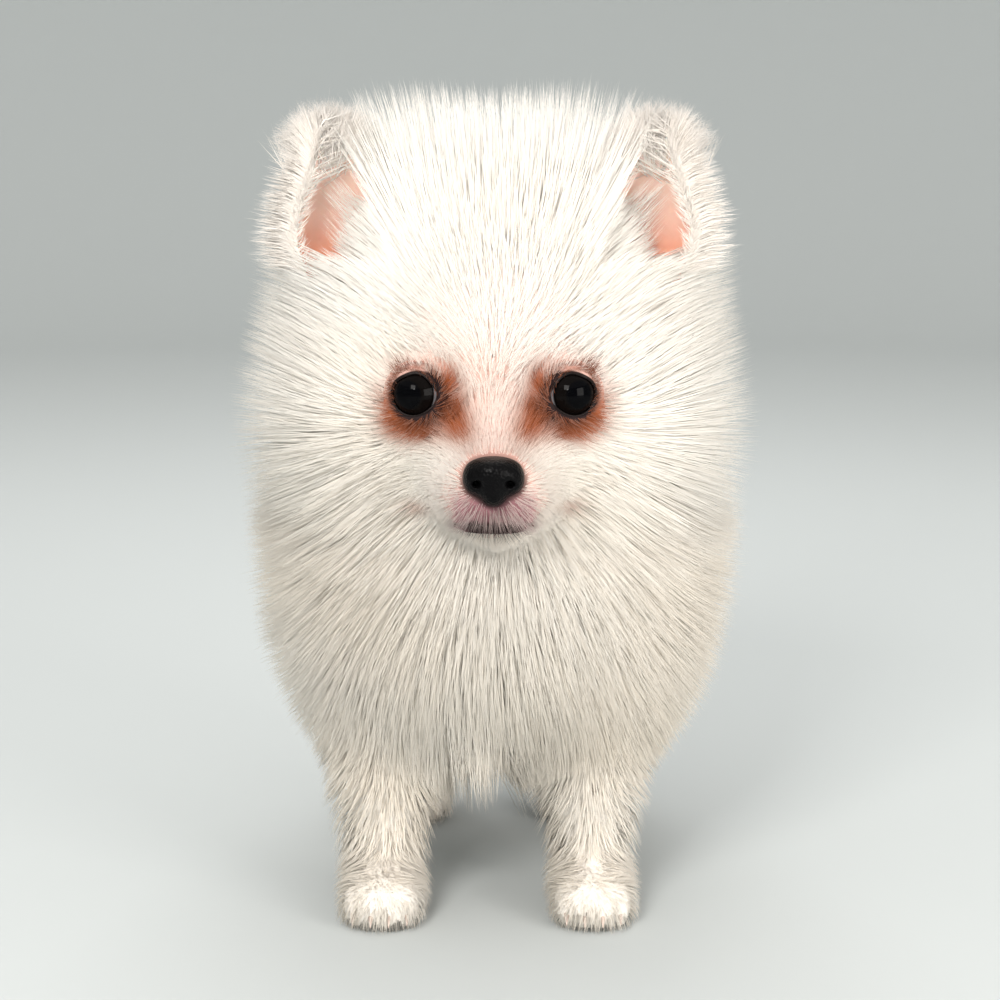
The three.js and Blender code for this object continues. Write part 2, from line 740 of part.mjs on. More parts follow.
const torsoCentre = vec(0, 28, 88);
const torsoStretch = vec(1, 1.4, 1);
const besideLeg = (p, x, y, room) => p.z < 56 && Math.hypot(p.x - x, p.y - y) < room;
const nearLeg = (p) =>
  [-1, 1].some((s) => besideLeg(p, side(s), -20, 15) || besideLeg(p, hindX(s), 66, 17));
const torsoLocks = coatLocks(torsoCentre, torsoStretch, lieOnBody, {
  ...lockSizes.torso,
  rootAllowed: (root) => headSpan(root) > 1.02 && alongMane(root) > 1 && !nearLeg(root),
  tipAllowed: (tip) => tip.z > lowestTip && alongMane(tip) > 0.5 && !nearLeg(tip),
});
const tailBone = (grow) => loftSolid(tail.path, tail.radii, grow);
const legRooms = pair((s) => [foreLeg(s, gap), hindLeg(s, gap)]).flat();
const torsoCuts = union([maneRegion(gap), headRegion(gap), ...legRooms, tailBone(gap)]);
const torsoCore = castBody(coatShare, coreShare, torsoCentre, torsoStretch, 6);
add('torso', union([torsoCore, ...torsoLocks]).subtract(torsoCuts), coatMaterial);

// Tail: its plume lies over the back, clear of the coat there

function tailLocks({ rows, round, length, width }) {
  const curve = new THREE.CatmullRomCurve3(tail.path.map((p) => vec(...p)));
  const locks = [];
  for (let k = 0; k < rows; k++) {
    const t = 0.3 + (0.68 * k) / (rows - 1);
    const centre = curve.getPoint(t);
    const along = curve.getTangent(t);
    const outer = vec(1, 0, 0).cross(along);
    for (let j = 0; j < round; j++) {
      const angle = (2 * Math.PI * (j + 0.5 * (k % 2))) / round;
      const out = vec(Math.cos(angle), 0, 0).addScaledVector(outer, Math.sin(angle));
      const root = centre.clone().addScaledVector(out, 5);
      locks.push(plainLock(root, out, along, length * vary(0.12), width * vary(0.15)));
    }
  }
  return locks;
}

const backRoom = castBody(coatShare, 1.08, torsoCentre, torsoStretch, 4);
const plume = union(tailLocks(lockSizes.tail)).subtract(backRoom);
add('tail', union([tailBone(0), plume]), coatMaterial);

// The origin goes under the middle of the bounding box

const box = new THREE.Box3().setFromObject(group);
const middle = box.getCenter(vec(0, 0, 0));
group.position.set(-middle.x, -middle.y, 0);

export default group;
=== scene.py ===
import bpy
import numpy as np
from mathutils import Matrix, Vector


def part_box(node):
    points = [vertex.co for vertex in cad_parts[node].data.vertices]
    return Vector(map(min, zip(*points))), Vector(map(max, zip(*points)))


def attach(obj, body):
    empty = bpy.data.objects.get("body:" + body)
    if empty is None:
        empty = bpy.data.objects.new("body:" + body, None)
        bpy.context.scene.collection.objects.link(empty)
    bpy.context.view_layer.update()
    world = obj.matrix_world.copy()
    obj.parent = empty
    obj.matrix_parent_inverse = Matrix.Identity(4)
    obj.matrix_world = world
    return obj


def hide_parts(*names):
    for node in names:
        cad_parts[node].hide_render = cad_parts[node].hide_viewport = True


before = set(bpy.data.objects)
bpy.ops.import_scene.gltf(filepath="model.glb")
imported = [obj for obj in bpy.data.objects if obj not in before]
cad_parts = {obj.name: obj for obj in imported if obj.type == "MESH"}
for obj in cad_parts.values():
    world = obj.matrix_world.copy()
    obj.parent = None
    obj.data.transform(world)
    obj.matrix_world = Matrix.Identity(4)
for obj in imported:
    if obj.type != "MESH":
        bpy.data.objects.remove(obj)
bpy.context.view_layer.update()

# The puppy is drawn in millimetres, nose ahead at -y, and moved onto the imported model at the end.

body = {
    "eye": (19.2, -50.2, 148.0),  # centre of the left eyeball
    "eyeRadius": 7.2,
    "eyeOutward": 0.30,           # how far each eye looks to its side, radians
    "nose": (0.0, -76.2, 130.0),
    "muzzleTip": (0.0, -80.0, 130.0),
    "foreX": (-31.0, 27.0),       # right and left forefoot
    "hindX": (-26.0, 26.0),
    "foreY": -24.0,
    "hindY": 62.0,
}

eyeLow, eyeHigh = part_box("eye_left")
drawnEye = np.array(body["eye"])
shift = (np.array(eyeLow) + np.array(eyeHigh)) * 500.0 - drawnEye
shift[2] = 0.0


def toMetres(points):
    return (points + shift) * 0.001


def unit(v):
    return v / (np.linalg.norm(v, axis=-1, keepdims=True) + 1e-9)


def smooth(low, high, x):
    # 0 below low, 1 above high, and an S curve between them
    t = np.clip((x - low) / (high - low), 0, 1)
    return t * t * (3 - 2 * t)


def mix(a, b, t):
    return a + (b - a) * t


# Fields: each form is an ellipsoid or a tapered limb, joined softly to the ones before it.

def ball(x, y, z, rx, ry, rz):
    return ("ball", (x, y, z), (rx, ry, rz))


def limb(a, b, ra, rb):
    return ("limb", a, b, (ra, rb))


bothSides = ((-1, "right"), (1, "left"))


def both(make):
    return [make(-1), make(1)]


def distanceTo(form, x, y, z):
    # Ellipsoid: k0 (k0 - 1) / k1, with k0 and k1 the lengths of q / r and q / r^2
    # Limb: distance to the nearest point of its line, less its radius there
    if form[0] == "ball":
        (cx, cy, cz), (rx, ry, rz) = form[1:]
        qx, qy, qz = (x - cx) / rx, (y - cy) / ry, (z - cz) / rz
        k0 = np.sqrt(qx * qx + qy * qy + qz * qz)
        k1 = np.sqrt((qx / rx) ** 2 + (qy / ry) ** 2 + (qz / rz) ** 2) + 1e-9
        return k0 * (k0 - 1) / k1
    a, b, (ra, rb) = form[1:]
    dx, dy, dz = b[0] - a[0], b[1] - a[1], b[2] - a[2]
    t = ((x - a[0]) * dx + (y - a[1]) * dy + (z - a[2]) * dz) / (dx * dx + dy * dy + dz * dz)
    t = np.clip(t, 0, 1)
    qx, qy, qz = x - a[0] - t * dx, y - a[1] - t * dy, z - a[2] - t * dz
    return np.sqrt(qx ** 2 + qy ** 2 + qz ** 2) - mix(ra, rb, t)


def softMin(a, b, softness):
    # Smooth minimum: the two distances meet in a fillet as wide as the softness
    h = np.maximum(softness - np.abs(a - b), 0) / softness
    return np.minimum(a, b) - h * h * softness * 0.25


def blended(forms, points, softness):
    x, y, z = np.ascontiguousarray(points.T)
    nearest = distanceTo(forms[0], x, y, z)
    for form in forms[1:]:
        nearest = softMin(distanceTo(form, x, y, z), nearest, softness)
    return nearest


def inParts(field, points, size=120000):
    return np.concatenate([field(points[k:k + size]) for k in range(0, len(points), size)])


def slope(field, points, e=0.3):
    # The direction in which the field rises fastest, from differences over 2 e
    steps = np.eye(3) * e
    return unit(np.stack([field(points + s) - field(points - s) for s in steps], 1))


foreX, hindX = body["foreX"], body["hindX"]
foreY, hindY = body["foreY"], body["hindY"]
paws = [(x, foreY - 6) for x in foreX] + [(x, hindY - 4) for x in hindX]
toes = (-1.5, -0.5, 0.5, 1.5)  # places across the paw, in widths of a toe
toeWidth = 4.9

headFlesh = [
    ball(0, -22, 158, 32, 34, 33),
    *both(lambda s: ball(16 * s, -36, 140, 17, 20, 17)),
    limb((0, -46, 133), (0, -66, 129), 15.5, 9.5),
    *both(lambda s: limb((10 * s, -50, 126), (6.2 * s, -67, 125), 9.5, 7.8)),
    limb((0, -44, 122), (0, -65, 119.5), 12, 6.5),
]
bodyFlesh = [
    limb((0, -12, 142), (0, 12, 105), 27, 31),
    ball(0, -4, 90, 31, 34, 33),
    ball(0, 20, 88, 31, 38, 31),
    ball(0, 40, 86, 28, 30, 28),
    ball(0, 56, 90, 29, 25, 30),
    *both(lambda s: ball(25 * s, -12, 76, 12, 17, 26)),
    *both(lambda s: ball(22 * s, 54, 72, 14, 22, 26)),
]
tailFlesh = [
    limb((0, 70, 108), (0, 90, 130), 7, 5.5),
    limb((0, 90, 130), (0, 90, 154), 5.5, 5),
    limb((0, 90, 154), (0, 72, 168), 5, 4.5),
    limb((0, 72, 168), (0, 50, 170), 4.5, 3),
]


def legForms(radii, hindRadii):
    # Three limbs through four joints, from shoulder or hip down to the pastern
    forms = []
    for k in (0, 1):
        fore = [(foreX[k], foreY + y, z) for y, z in ((8, 66), (5, 45), (3, 28), (0, 11))]
        hind = [(hindX[k], hindY + y, z) for y, z in ((-6, 66), (0, 46), (10, 27), (3, 11))]
        for path, sizes in ((fore, radii), (hind, hindRadii)):
            forms += [limb(path[n], path[n + 1], sizes[n], sizes[n + 1]) for n in range(3)]
    return forms


def pawForms(grow):
    forms = []
    for x, y in paws:
        forms.append(ball(x, y + 1, 6.5, 9.6 + grow, 11.5 + grow, 6.5 + grow))
        for k in toes:
            toe = (x + k * toeWidth, y - 11 + 1.6 * abs(k), 4.6)
            forms.append(ball(*toe, 2.5 + grow, 5.0 + grow, 4.4 + grow))
    return forms


legFlesh = legForms((12, 9.5, 8, 7.4), (15, 11, 7.5, 7.2))

headCoat = [
    ball(0, -4, 166, 64, 42, 59),
    *both(lambda s: ball(31 * s, -6, 190, 29, 27, 33)),
    ball(0, -22, 160, 38.5, 38, 38),
    *both(lambda s: ball(33 * s, -20, 136, 34, 31, 35)),
    *both(lambda s: ball(16 * s, -36, 140, 20, 22.5, 20)),
    limb((0, -46, 133), (0, -66, 129), 18, 11),
    *both(lambda s: limb((10 * s, -50, 126), (6.2 * s, -67, 125), 13, 9.6)),
    limb((0, -44, 122), (0, -65, 119.5), 16, 8.4),
]
bodyCoat = [
    ball(0, 0, 122, 67, 50, 55),
    ball(0, -16, 90, 56, 43, 52),
    *both(lambda s: ball(30 * s, -6, 76, 32, 35, 43)),
    ball(0, 26, 92, 62, 56, 54),
    ball(0, 58, 86, 52, 40, 49),
    limb((-3, -26, 74), (-6, -32, 36), 22, 7),
]
legCoat = legForms((17, 15.5, 14.2, 12), (21, 18, 13.5, 11.5))
tailCoat = [
    limb((0, 72, 110), (0, 90, 132), 11, 17),
    limb((0, 90, 132), (0, 88, 156), 17, 25),
    limb((0, 88, 156), (0, 70, 168), 25, 26),
    limb((0, 70, 168), (0, 46, 170), 26, 17),
]


wideCoat = [headCoat[n] for n in (0, 1, 2, 4, 5)] + bodyCoat[:-1]
fineCoat = headCoat + bodyCoat + legCoat + pawForms(1.8)


def coatField(points):
    # The large forms meet in wide fillets, the face, legs and paws in narrow ones
    return softMin(blended(fineCoat, points, 10), blended(wideCoat, points, 24), 4)


def tailCoatField(points):
    return blended(tailCoat, points, 10)


# The face: the rim round each eye and the line of the mouth.

def lookOf(s):
    out = body["eyeOutward"]
    return unit(np.array([s * np.sin(out), -np.cos(out), 0.06]))


def eyeOf(s):
    return np.array([s * drawnEye[0], drawnEye[1], drawnEye[2]])


def ringDistance(points, centre, axis, radius, tube):
    # A ring round the axis: distance to the circle less the tube
    q = points - centre
    along = q @ axis
    flat = np.sqrt(np.maximum((q ** 2).sum(1) - along ** 2, 0))
    return np.sqrt((flat - radius) ** 2 + along ** 2) - tube


def onTail(points):
    # 1 on the tail past its root
    near = blended(tailFlesh, points, 4)
    y, z = points[:, 1], points[:, 2]
    along = np.maximum(smooth(62, 72, y), smooth(146, 154, z) * smooth(30, 40, y))
    return smooth(8, 4, near) * along * smooth(104, 122, z)


def baseFlesh(points):
    return blended(headFlesh + bodyFlesh + legFlesh + tailFlesh + pawForms(0), points, 6)


def castOut(field, centre, directions, reach):
    # Halves the way from the centre outwards until the point lies where the field is zero
    low, high = np.zeros(len(directions)), np.full(len(directions), reach)
    for _ in range(22):
        middle = (low + high) / 2
        outside = field(centre + directions * middle[:, None]) > 0
        high = np.where(outside, middle, high)
        low = np.where(outside, low, middle)
    return centre + directions * high[:, None]


mouth = {"points": 25, "width": 34.0, "z": 116.8, "dip": 1.7, "groove": 0.8, "lip": 1.2}


def mouthLine():
    t = np.linspace(-1, 1, mouth["points"])
    x = mouth["width"] * t * np.abs(t) ** 0.3
    z = mouth["z"] - mouth["dip"] * np.sin(np.pi * t * t)
    centre = np.array([0.0, -48.0, 122.0])
    directions = unit(np.stack([x, np.full_like(x, -25.0), z - centre[2]], 1))
    return castOut(baseFlesh, centre, directions, 40)


mouthPath = mouthLine()


def alongPath(points, path):
    # Distance to the nearest stretch of a broken line
    best = np.full(len(points), 1e9)
    for a, b in zip(path[:-1], path[1:]):
        d = b - a
        t = np.clip(((points - a) @ d) / (d @ d), 0, 1)
        best = np.minimum(best, np.linalg.norm(points - a - t[:, None] * d, axis=1))
    return best


# Where the coat is deeper than "from", the skin rises by a share of the rest
skinRise = {"from": 8.0, "share": 0.46}
# The swelling round each eye, ahead of its middle, and the hollow for the ball
socket = {"ahead": 2.6, "radius": 7.1, "tube": 1.5, "hollow": 7.0}


def fleshField(points):
    d = baseFlesh(points)
    close = np.abs(d) < 26
    deep = np.maximum(d[close] - coatField(points[close]) - skinRise["from"], 0)
    d[close] -= skinRise["share"] * deep * deep / (deep + 3) * (1 - onTail(points[close]))
    near = (points[:, 1] < -40) & (points[:, 2] > 100) & (points[:, 2] < 175) & (d < 12)
    if near.any():
        p, f = points[near], d[near]
        for s in (-1, 1):
            middle = eyeOf(s) + lookOf(s) * socket["ahead"]
            rim = ringDistance(p, middle, lookOf(s), socket["radius"], socket["tube"])
            f = softMin(f, rim, 3.2)
            f = -softMin(-f, np.linalg.norm(p - eyeOf(s), axis=1) - socket["hollow"], 0.8)
        gap = alongPath(p, mouthPath)
        f = softMin(f, gap - mouth["lip"], 2.0)
        ahead = np.array([0.0, -0.9, 0.0])
        f = -softMin(-f, alongPath(p, mouthPath + ahead) - mouth["groove"], 0.6)
        d[near] = f
    return np.maximum(d, 0.25 - points[:, 2])


# A surface from a field on a grid whose lines stand closer at the face.

def netSurface(field, axes):
    # Each grid cell that the surface crosses holds one point, the mean of the crossings on its edges
    # Each crossed edge makes the quad of its four cells
    nx, ny, nz = (len(a) for a in axes)
    grid = np.stack(np.meshgrid(*axes, indexing="ij"), -1).reshape(-1, 3)
    values = inParts(field, grid).reshape(nx, ny, nz)
    quads, places = [], []
    for axis in range(3):
        low = tuple(slice(0, -1) if n == axis else slice(None) for n in range(3))
        high = tuple(slice(1, None) if n == axis else slice(None) for n in range(3))
        a, b = values[low], values[high]
        index = np.array(np.nonzero((a < 0) != (b < 0)))
        va, vb = a[tuple(index)], b[tuple(index)]
        place = np.stack([axes[n][index[n]] for n in range(3)], 1)
        place[:, axis] += va / (va - vb) * (axes[axis][index[axis] + 1] - axes[axis][index[axis]])
        u, v = (axis + 1) % 3, (axis + 2) % 3
        ring = []
        for du, dv in ((0, 0), (-1, 0), (-1, -1), (0, -1)):
            at = index.copy()
            at[u] += du
            at[v] += dv
            ring.append((at[0] * ny + at[1]) * nz + at[2])
        ring = np.stack(ring, 1)
        ring[va > 0] = ring[va > 0][:, ::-1]
        quads.append(ring)
        places.append(np.repeat(place, 4, axis=0))
    faces = np.unique(np.concatenate(quads).ravel(), return_inverse=True)[1]
    count = np.bincount(faces)
    place = np.concatenate(places)
    points = np.stack([np.bincount(faces, place[:, n]) / count for n in range(3)], 1)
    return points, faces.reshape(-1, 4)


def settle(field, points, rounds=3, most=1.0):
    # Newton steps along the slope until the points lie on the surface
    for _ in range(rounds):
        points = points - slope(field, points) * np.clip(field(points), -most, most)[:, None]
    return points


def spaced(stops):
    # Grid lines from stretches of (start, end, step)
    return np.unique(np.round(np.concatenate([np.arange(a, b, c) for a, b, c in stops]), 3))


def placed(name, data):
    piece = bpy.data.objects.new(name, data)
    bpy.context.scene.collection.objects.link(piece)
    return piece


def meshObject(name, points, faces, material):
    mesh = bpy.data.meshes.new(name)
    faces = np.asarray(faces)
    sides = faces.shape[1]
    mesh.vertices.add(len(points))
    mesh.vertices.foreach_set("co", toMetres(points).astype(np.float32).ravel())
    mesh.loops.add(faces.size)
    mesh.loops.foreach_set("vertex_index", faces.astype(np.int32).ravel())
    mesh.polygons.add(len(faces))
    mesh.polygons.foreach_set("loop_start", np.arange(0, faces.size, sides, dtype=np.int32))
    mesh.polygons.foreach_set("use_smooth", np.full(len(faces), True))
    mesh.update(calc_edges=True)
    mesh.validate()
    piece = placed(name, mesh)
    mesh.materials.append(material)
    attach(piece, "root")
    return piece


def setValues(mesh, name, values):
    layer = mesh.attributes.new(name, "FLOAT", "POINT")
    layer.data.foreach_set("value", np.asarray(values, np.float32))


def setMarks(mesh, marks):
    for key, values in marks.items():
        setValues(mesh, key, values)


# Nose leather: a rounded wedge with comma nostrils and a groove below

noseAt = np.array(body["nose"])
noseShape = {"step": 0.42, "top": 5.4, "grooveTop": -1.4}


def noseField(points):
    x, y, z = np.abs(points[:, 0]), points[:, 1] - noseAt[1], points[:, 2] - noseAt[2]
    p = np.stack([x, y, z], 1)
    d = blended([
        ball(0, 0.4, 1.5, 6.4, 6.4, 5.3),
        ball(4.4, 1.0, -0.2, 3.2, 5.0, 3.9),
        ball(0, 0.6, -3.0, 3.7, 5.8, 4.0),
    ], p, 2.0)
    d = -softMin(-d, noseShape["top"] - z, 2.4)
    nostril = limb((3.7, -6.4, -0.9), (4.4, -2.4, -0.8), 1.35, 0.8)
    slit = limb((4.4, -5.2, -1.4), (7.2, -3.2, -1.6), 0.8, 0.5)
    d = -softMin(-d, blended([nostril, slit], p, 0.9), 0.8)
    line = np.maximum(np.hypot(x, y + 6.5) - 0.5, z - noseShape["grooveTop"])
    return -softMin(-d, line, 0.7)


# Markings, worked out from place alone, for skin and coat alike.

def gauss(d, width):
    return np.exp(-(d / width) ** 2)


def spot(dx, dz, wide, high):
    # 1 in the middle, falling off by its own width each way
    return np.exp(-(dx / wide) ** 2 - (dz / high) ** 2)


def eyePlane(points):
    # Outward and upward distance from the nearer eye, its length, and 1 on the front of the face
    dx = np.abs(points[:, 0]) - drawnEye[0]
    dz = points[:, 2] - drawnEye[2]
    return dx, dz, np.hypot(dx, dz), smooth(-34, -45, points[:, 1])


stainAt = [                       # outward, upward, how wide, how high, how strong
    (-7.5, 3.5, 3.4, 4.8, 0.80),  # beside the bridge
    (-8.0, -3.5, 4.8, 4.0, 1.00),
    (-10.5, -8.0, 4.5, 3.6, 0.70),
    (0.5, -8.6, 6.5, 3.3, 1.00),  # below the lid
    (6.5, -6.2, 4.0, 3.8, 0.90),
    (9.3, -2.0, 3.0, 4.0, 0.60),  # outer corner
    (-1.0, 8.0, 6.0, 1.4, 0.25),  # above the lid
]


def mauveAt(points):
    # 1 on the thin-haired lip below and beside the nose
    x, z = np.abs(points[:, 0]), points[:, 2]
    height = smooth(113.5, 116.5, z) * smooth(129.5, 123, z)
    return smooth(13, 8.5, x) * height * smooth(-58, -66, points[:, 1])


def markings(points):
    # stain: rust round the eyes; pink: skin seen through thin hair; mauve: the lip
    # dark: lids, seam, edge of the nose and pads
    dx, dz, fromEye, front = eyePlane(points)
    x, z = np.abs(points[:, 0]), points[:, 2]
    clear = np.ones(len(points))
    for outward, upward, wide, high, strong in stainAt:
        clear *= 1 - strong * spot(dx - outward, dz - upward, wide, high)
    stain = np.clip(1.25 * (1 - clear), 0, 1) * front
    stain = np.maximum(stain, 0.45 * spot(x - 19.5, z - 119.5, 3.2, 2.0) * front)
    bridge = gauss(np.hypot(x * 0.85, (z - 141) * 0.55), 7.5)
    muzzle = 0.8 * gauss(np.hypot(x * 0.6, z - 123) * 0.9, 8.0) * smooth(-56, -64, points[:, 1])
    pink = np.clip(0.7 * bridge + 0.7 * muzzle + 0.35 * gauss(fromEye - 9, 4), 0, 1) * front
    lips = alongPath(points, mouthPath)
    dark = smooth(3.4, 1.5, lips) * mix(0.12, 1.0, smooth(10, 5, x))
    mauve = mauveAt(points)
    dark = np.maximum(dark, 0.35 * mauve * gauss(x, 7))
    dark = np.maximum(dark, smooth(2.0, 0.1, noseField(points)) * mix(0.9, 0.6, smooth(126, 132, z)))
    strip = smooth(0.45, 0.85, (0.45 * dx + 0.9 * dz) / (fromEye + 0.1)) * smooth(7.9, 7.4, fromEye)
    rim = smooth(8.8, 7.2, fromEye) * (1 - 0.8 * strip * smooth(6.1, 6.5, fromEye))
    crease = 0.7 * gauss(fromEye - 8.1, 0.5) * smooth(0.1, 0.7, (0.3 * dx + dz) / (fromEye + 0.1))
    corner = spot(dx + 7.8, dz + 2.6, 2.0, 1.9)
    under = 0.6 * spot(dx - 1.5, dz + 7.4, 4.5, 1.3)
    dark = np.maximum(dark, np.maximum.reduce([rim, crease, corner, under]) * front)
    dark = dark * smooth(-42, -48, points[:, 1])
    dark = np.maximum(dark, 0.5 * smooth(1.2, 0.4, z))
    return {"stain": stain, "pink": pink, "mauve": 0.85 * mauve, "dark": dark}


# Shader node groups

def link(tree, a, b):
    tree.links.new(a, b)


def node(tree, kind, **values):
    made = tree.nodes.new(kind)
    for key, value in values.items():
        setattr(made, key, value)
    return made


def mixColour(tree, factor, a, b):
    # a and b are sockets or colours; the factor is a socket
    blend = node(tree, "ShaderNodeMix", data_type="RGBA")
    link(tree, factor, blend.inputs["Factor"])
    for socket, value in ((blend.inputs[6], a), (blend.inputs[7], b)):
        if isinstance(value, bpy.types.NodeSocket):
            link(tree, value, socket)
        else:
            socket.default_value = (*value, 1)
    return blend.outputs[2]


tints = {  # laid over the plain colour in this order
    "pink": (0.83, 0.46, 0.39),
    "stain": (0.36, 0.095, 0.032),
    "mauve": (0.36, 0.15, 0.19),
    "dark": (0.018, 0.009, 0.009),
}


def newGroup(name, inputs, outputs):
    # A node group with named sockets, each with its kind, and its two end nodes
    group = bpy.data.node_groups.new(name, "ShaderNodeTree")
    for way, sockets in (("INPUT", inputs), ("OUTPUT", outputs)):
        for label, kind in sockets.items():
            group.interface.new_socket(label, in_out=way, socket_type="NodeSocket" + kind)
    return group, node(group, "NodeGroupInput").outputs, node(group, "NodeGroupOutput").inputs


def markingGroup():
    # Takes the plain colour of a surface and lays the markings over it
    inputs = {"plain": "Color", **{name: "Float" for name in tints}}
    group, start, end = newGroup("markingTint", inputs, {"colour": "Color"})
    colour = start["plain"]
    for name, tint in tints.items():
        colour = mixColour(group, start[name], colour, tint)
    link(group, colour, end["colour"])
    return group


def speckleGroup():
    # Fine noise on object coordinates: a value that changes over the surface, and a height for bump
    group, start, end = newGroup("fineSpeckle", {"scale": "Float"}, {"value": "Float", "height": "Float"})
    place = node(group, "ShaderNodeTexCoord")
    noise = node(group, "ShaderNodeTexNoise")
    noise.inputs["Detail"].default_value = 4
    cells = node(group, "ShaderNodeTexVoronoi")
    for pattern in (noise, cells):
        link(group, place.outputs["Object"], pattern.inputs["Vector"])
        link(group, start["scale"], pattern.inputs["Scale"])
    link(group, noise.outputs["Fac"], end["value"])
    link(group, cells.outputs["Distance"], end["height"])
    return group


tintGroup = markingGroup()
grainGroup = speckleGroup()


def newMaterial(name, roughness, shine=0.5, **settings):
    material = bpy.data.materials.new(name)
    material.use_nodes = True
    tree = material.node_tree
    shader = tree.nodes["Principled BSDF"].inputs
    for key, value in {"Roughness": roughness, "Specular IOR Level": shine, **settings}.items():
        shader[key].default_value = value
    return material, tree, shader


def attribute(tree, name):
    return node(tree, "ShaderNodeAttribute", attribute_name=name).outputs["Fac"]


def marked(tree, plain):
    # The plain colour with the markings that the mesh carries
    group = node(tree, "ShaderNodeGroup", node_tree=tintGroup)
    link(tree, plain, group.inputs["plain"])
    for name in tints:
        link(tree, attribute(tree, name), group.inputs[name])
    return group.outputs["colour"]


def grain(tree, scale):
    # The fine speckle's value and height
    group = node(tree, "ShaderNodeGroup", node_tree=grainGroup)
    group.inputs["scale"].default_value = scale
    return group.outputs["value"], group.outputs["height"]


def bump(tree, height, strength, distance):
    made = node(tree, "ShaderNodeBump")
    made.inputs["Strength"].default_value = strength
    made.inputs["Distance"].default_value = distance
    link(tree, height, made.inputs["Height"])
    return made.outputs["Normal"]


def speckled(name, roughness, shine, scale, low, high, rough=None, **settings):
    # For small parts: a colour that varies finely between two, and a fine bump (strength, depth)
    material, tree, shader = newMaterial(name, roughness, shine, **settings)
    value, height = grain(tree, scale)
    link(tree, mixColour(tree, value, low, high), shader["Base Color"])
    if rough:
        link(tree, bump(tree, height, *rough), shader["Normal"])
    return material


skinLook = {"bare": (0.80, 0.52, 0.44), "under": (0.97, 0.91, 0.84), "roughness": 0.6, "shine": 0.12}


def skinMaterial():
    material, tree, shader = newMaterial("skin", skinLook["roughness"], skinLook["shine"])
    height = grain(tree, 900)[1]
    plain = mixColour(tree, attribute(tree, "cover"), skinLook["bare"], skinLook["under"])
    link(tree, marked(tree, plain), shader["Base Color"])
    link(tree, bump(tree, height, 0.25, 0.0003), shader["Normal"])
    return material


coatLook = {
    "root": (0.97, 0.935, 0.88),
    "tip": (0.955, 0.925, 0.875),
    # cream for the tone: the coat's own cream, and painted shade low on the body
    "creamAndShade": (0.94, 0.84, 0.71),
    "roughness": 0.7,
    "shine": 0.15,
}


def coatMaterial():
    material, tree, shader = newMaterial("coat", coatLook["roughness"], coatLook["shine"])
    length = mixColour(tree, attribute(tree, "share"), coatLook["root"], coatLook["tip"])
    # mixes in cream: the coat's own, and painted shade low on the body
    toneAndShade = mixColour(tree, attribute(tree, "toneAndShade"), length, coatLook["creamAndShade"])
    link(tree, marked(tree, toneAndShade), shader["Base Color"])
    return material


skinStuff = skinMaterial()
coatStuff = coatMaterial()
print("fields and materials ready")

# Skin

skinGrid = {
    "x": ((-66, -42, 2), (-42, -14, 1.0), (-14, 14, 0.7), (14, 42, 1.0), (42, 66, 2)),
    "y": ((-92, -46, 0.75), (-46, -36, 1.2), (-36, 104, 1.9)),
    "z": ((-2, 16, 1.1), (16, 106, 2), (106, 164, 0.8), (164, 216, 1.8)),
}
skinPoints, skinFaces = netSurface(fleshField, [spaced(skinGrid[k]) for k in "xyz"])
skinPoints = settle(fleshField, skinPoints)
skinPoints[:, 2] = np.maximum(skinPoints[:, 2], 0.25)
skin = meshObject("skin", skinPoints, skinFaces, skinStuff)
setMarks(skin.data, markings(skinPoints))
cover = np.maximum(smooth(3, 8, -coatField(skinPoints)), smooth(-30, -24, skinPoints[:, 1]))
setValues(skin.data, "cover", np.maximum(cover, smooth(90, 80, skinPoints[:, 2])))
limbNodes = [f"{a}{b}_{c}" for a in ("fore", "hind") for b in ("leg", "paw") for c in ("left", "right")]
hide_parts("head", "neck", "torso", "tail", *limbNodes)
print("skin", len(skinFaces), "faces")


def unwrap(piece):
    # Lays the skin flat as OFBake and gives each face's corners on it
    bpy.ops.object.select_all(action="DESELECT")
    bpy.context.view_layer.objects.active = piece
    piece.select_set(True)
    bpy.ops.object.mode_set(mode="EDIT")
    bpy.ops.mesh.select_all(action="SELECT")
    bpy.ops.uv.smart_project(angle_limit=1.15, island_margin=0.002)
    bpy.ops.object.mode_set(mode="OBJECT")
    piece.data.uv_layers.active.name = "OFBake"
    values = np.zeros(len(piece.data.loops) * 2, np.float32)
    piece.data.uv_layers["OFBake"].data.foreach_get("uv", values)
    return values.reshape(-1, 4, 2)


skinUv = unwrap(skin)
print("skin unwrapped")

# Coat

rng = np.random.default_rng(41)


def rootsOn(points, faces, uv, count, density):
    # Random places on triangles, as many on each as its area times the density there
    corners = np.concatenate([faces[:, [0, 1, 2]], faces[:, [0, 2, 3]]])
    uvs = np.concatenate([uv[:, [0, 1, 2]], uv[:, [0, 2, 3]]])
    a, b, c = (points[corners[:, n]] for n in range(3))
    area = np.linalg.norm(np.cross(b - a, c - a), axis=1) * density((a + b + c) / 3)
    pick = np.searchsorted(np.cumsum(area) / area.sum(), rng.random(count))
    pick = np.minimum(pick, len(area) - 1)
    u, v = rng.random((2, count))
    fold = u + v > 1
    u, v = np.where(fold, 1 - u, u)[:, None], np.where(fold, 1 - v, v)[:, None]
    place = a[pick] + (b - a)[pick] * u + (c - a)[pick] * v
    where = uvs[pick, 0] + (uvs[pick, 1] - uvs[pick, 0]) * u + (uvs[pick, 2] - uvs[pick, 0]) * v
    return place, where


def wave(points, size, seed):
    # Slow change over space: a mean of three sines along turned axes, from -1 to 1
    turn = np.random.default_rng(seed).normal(size=(3, 3))
    return np.sin(points @ turn.T / size + seed).mean(1)


# even: how far a blade's normals follow the coat's; thin: its thickness; patch: half its width on OFBake
tuft = {"bends": 2, "even": 0.9, "thin": 0.35, "narrow": 0.7, "patch": 0.0015, "floor": 0.3}


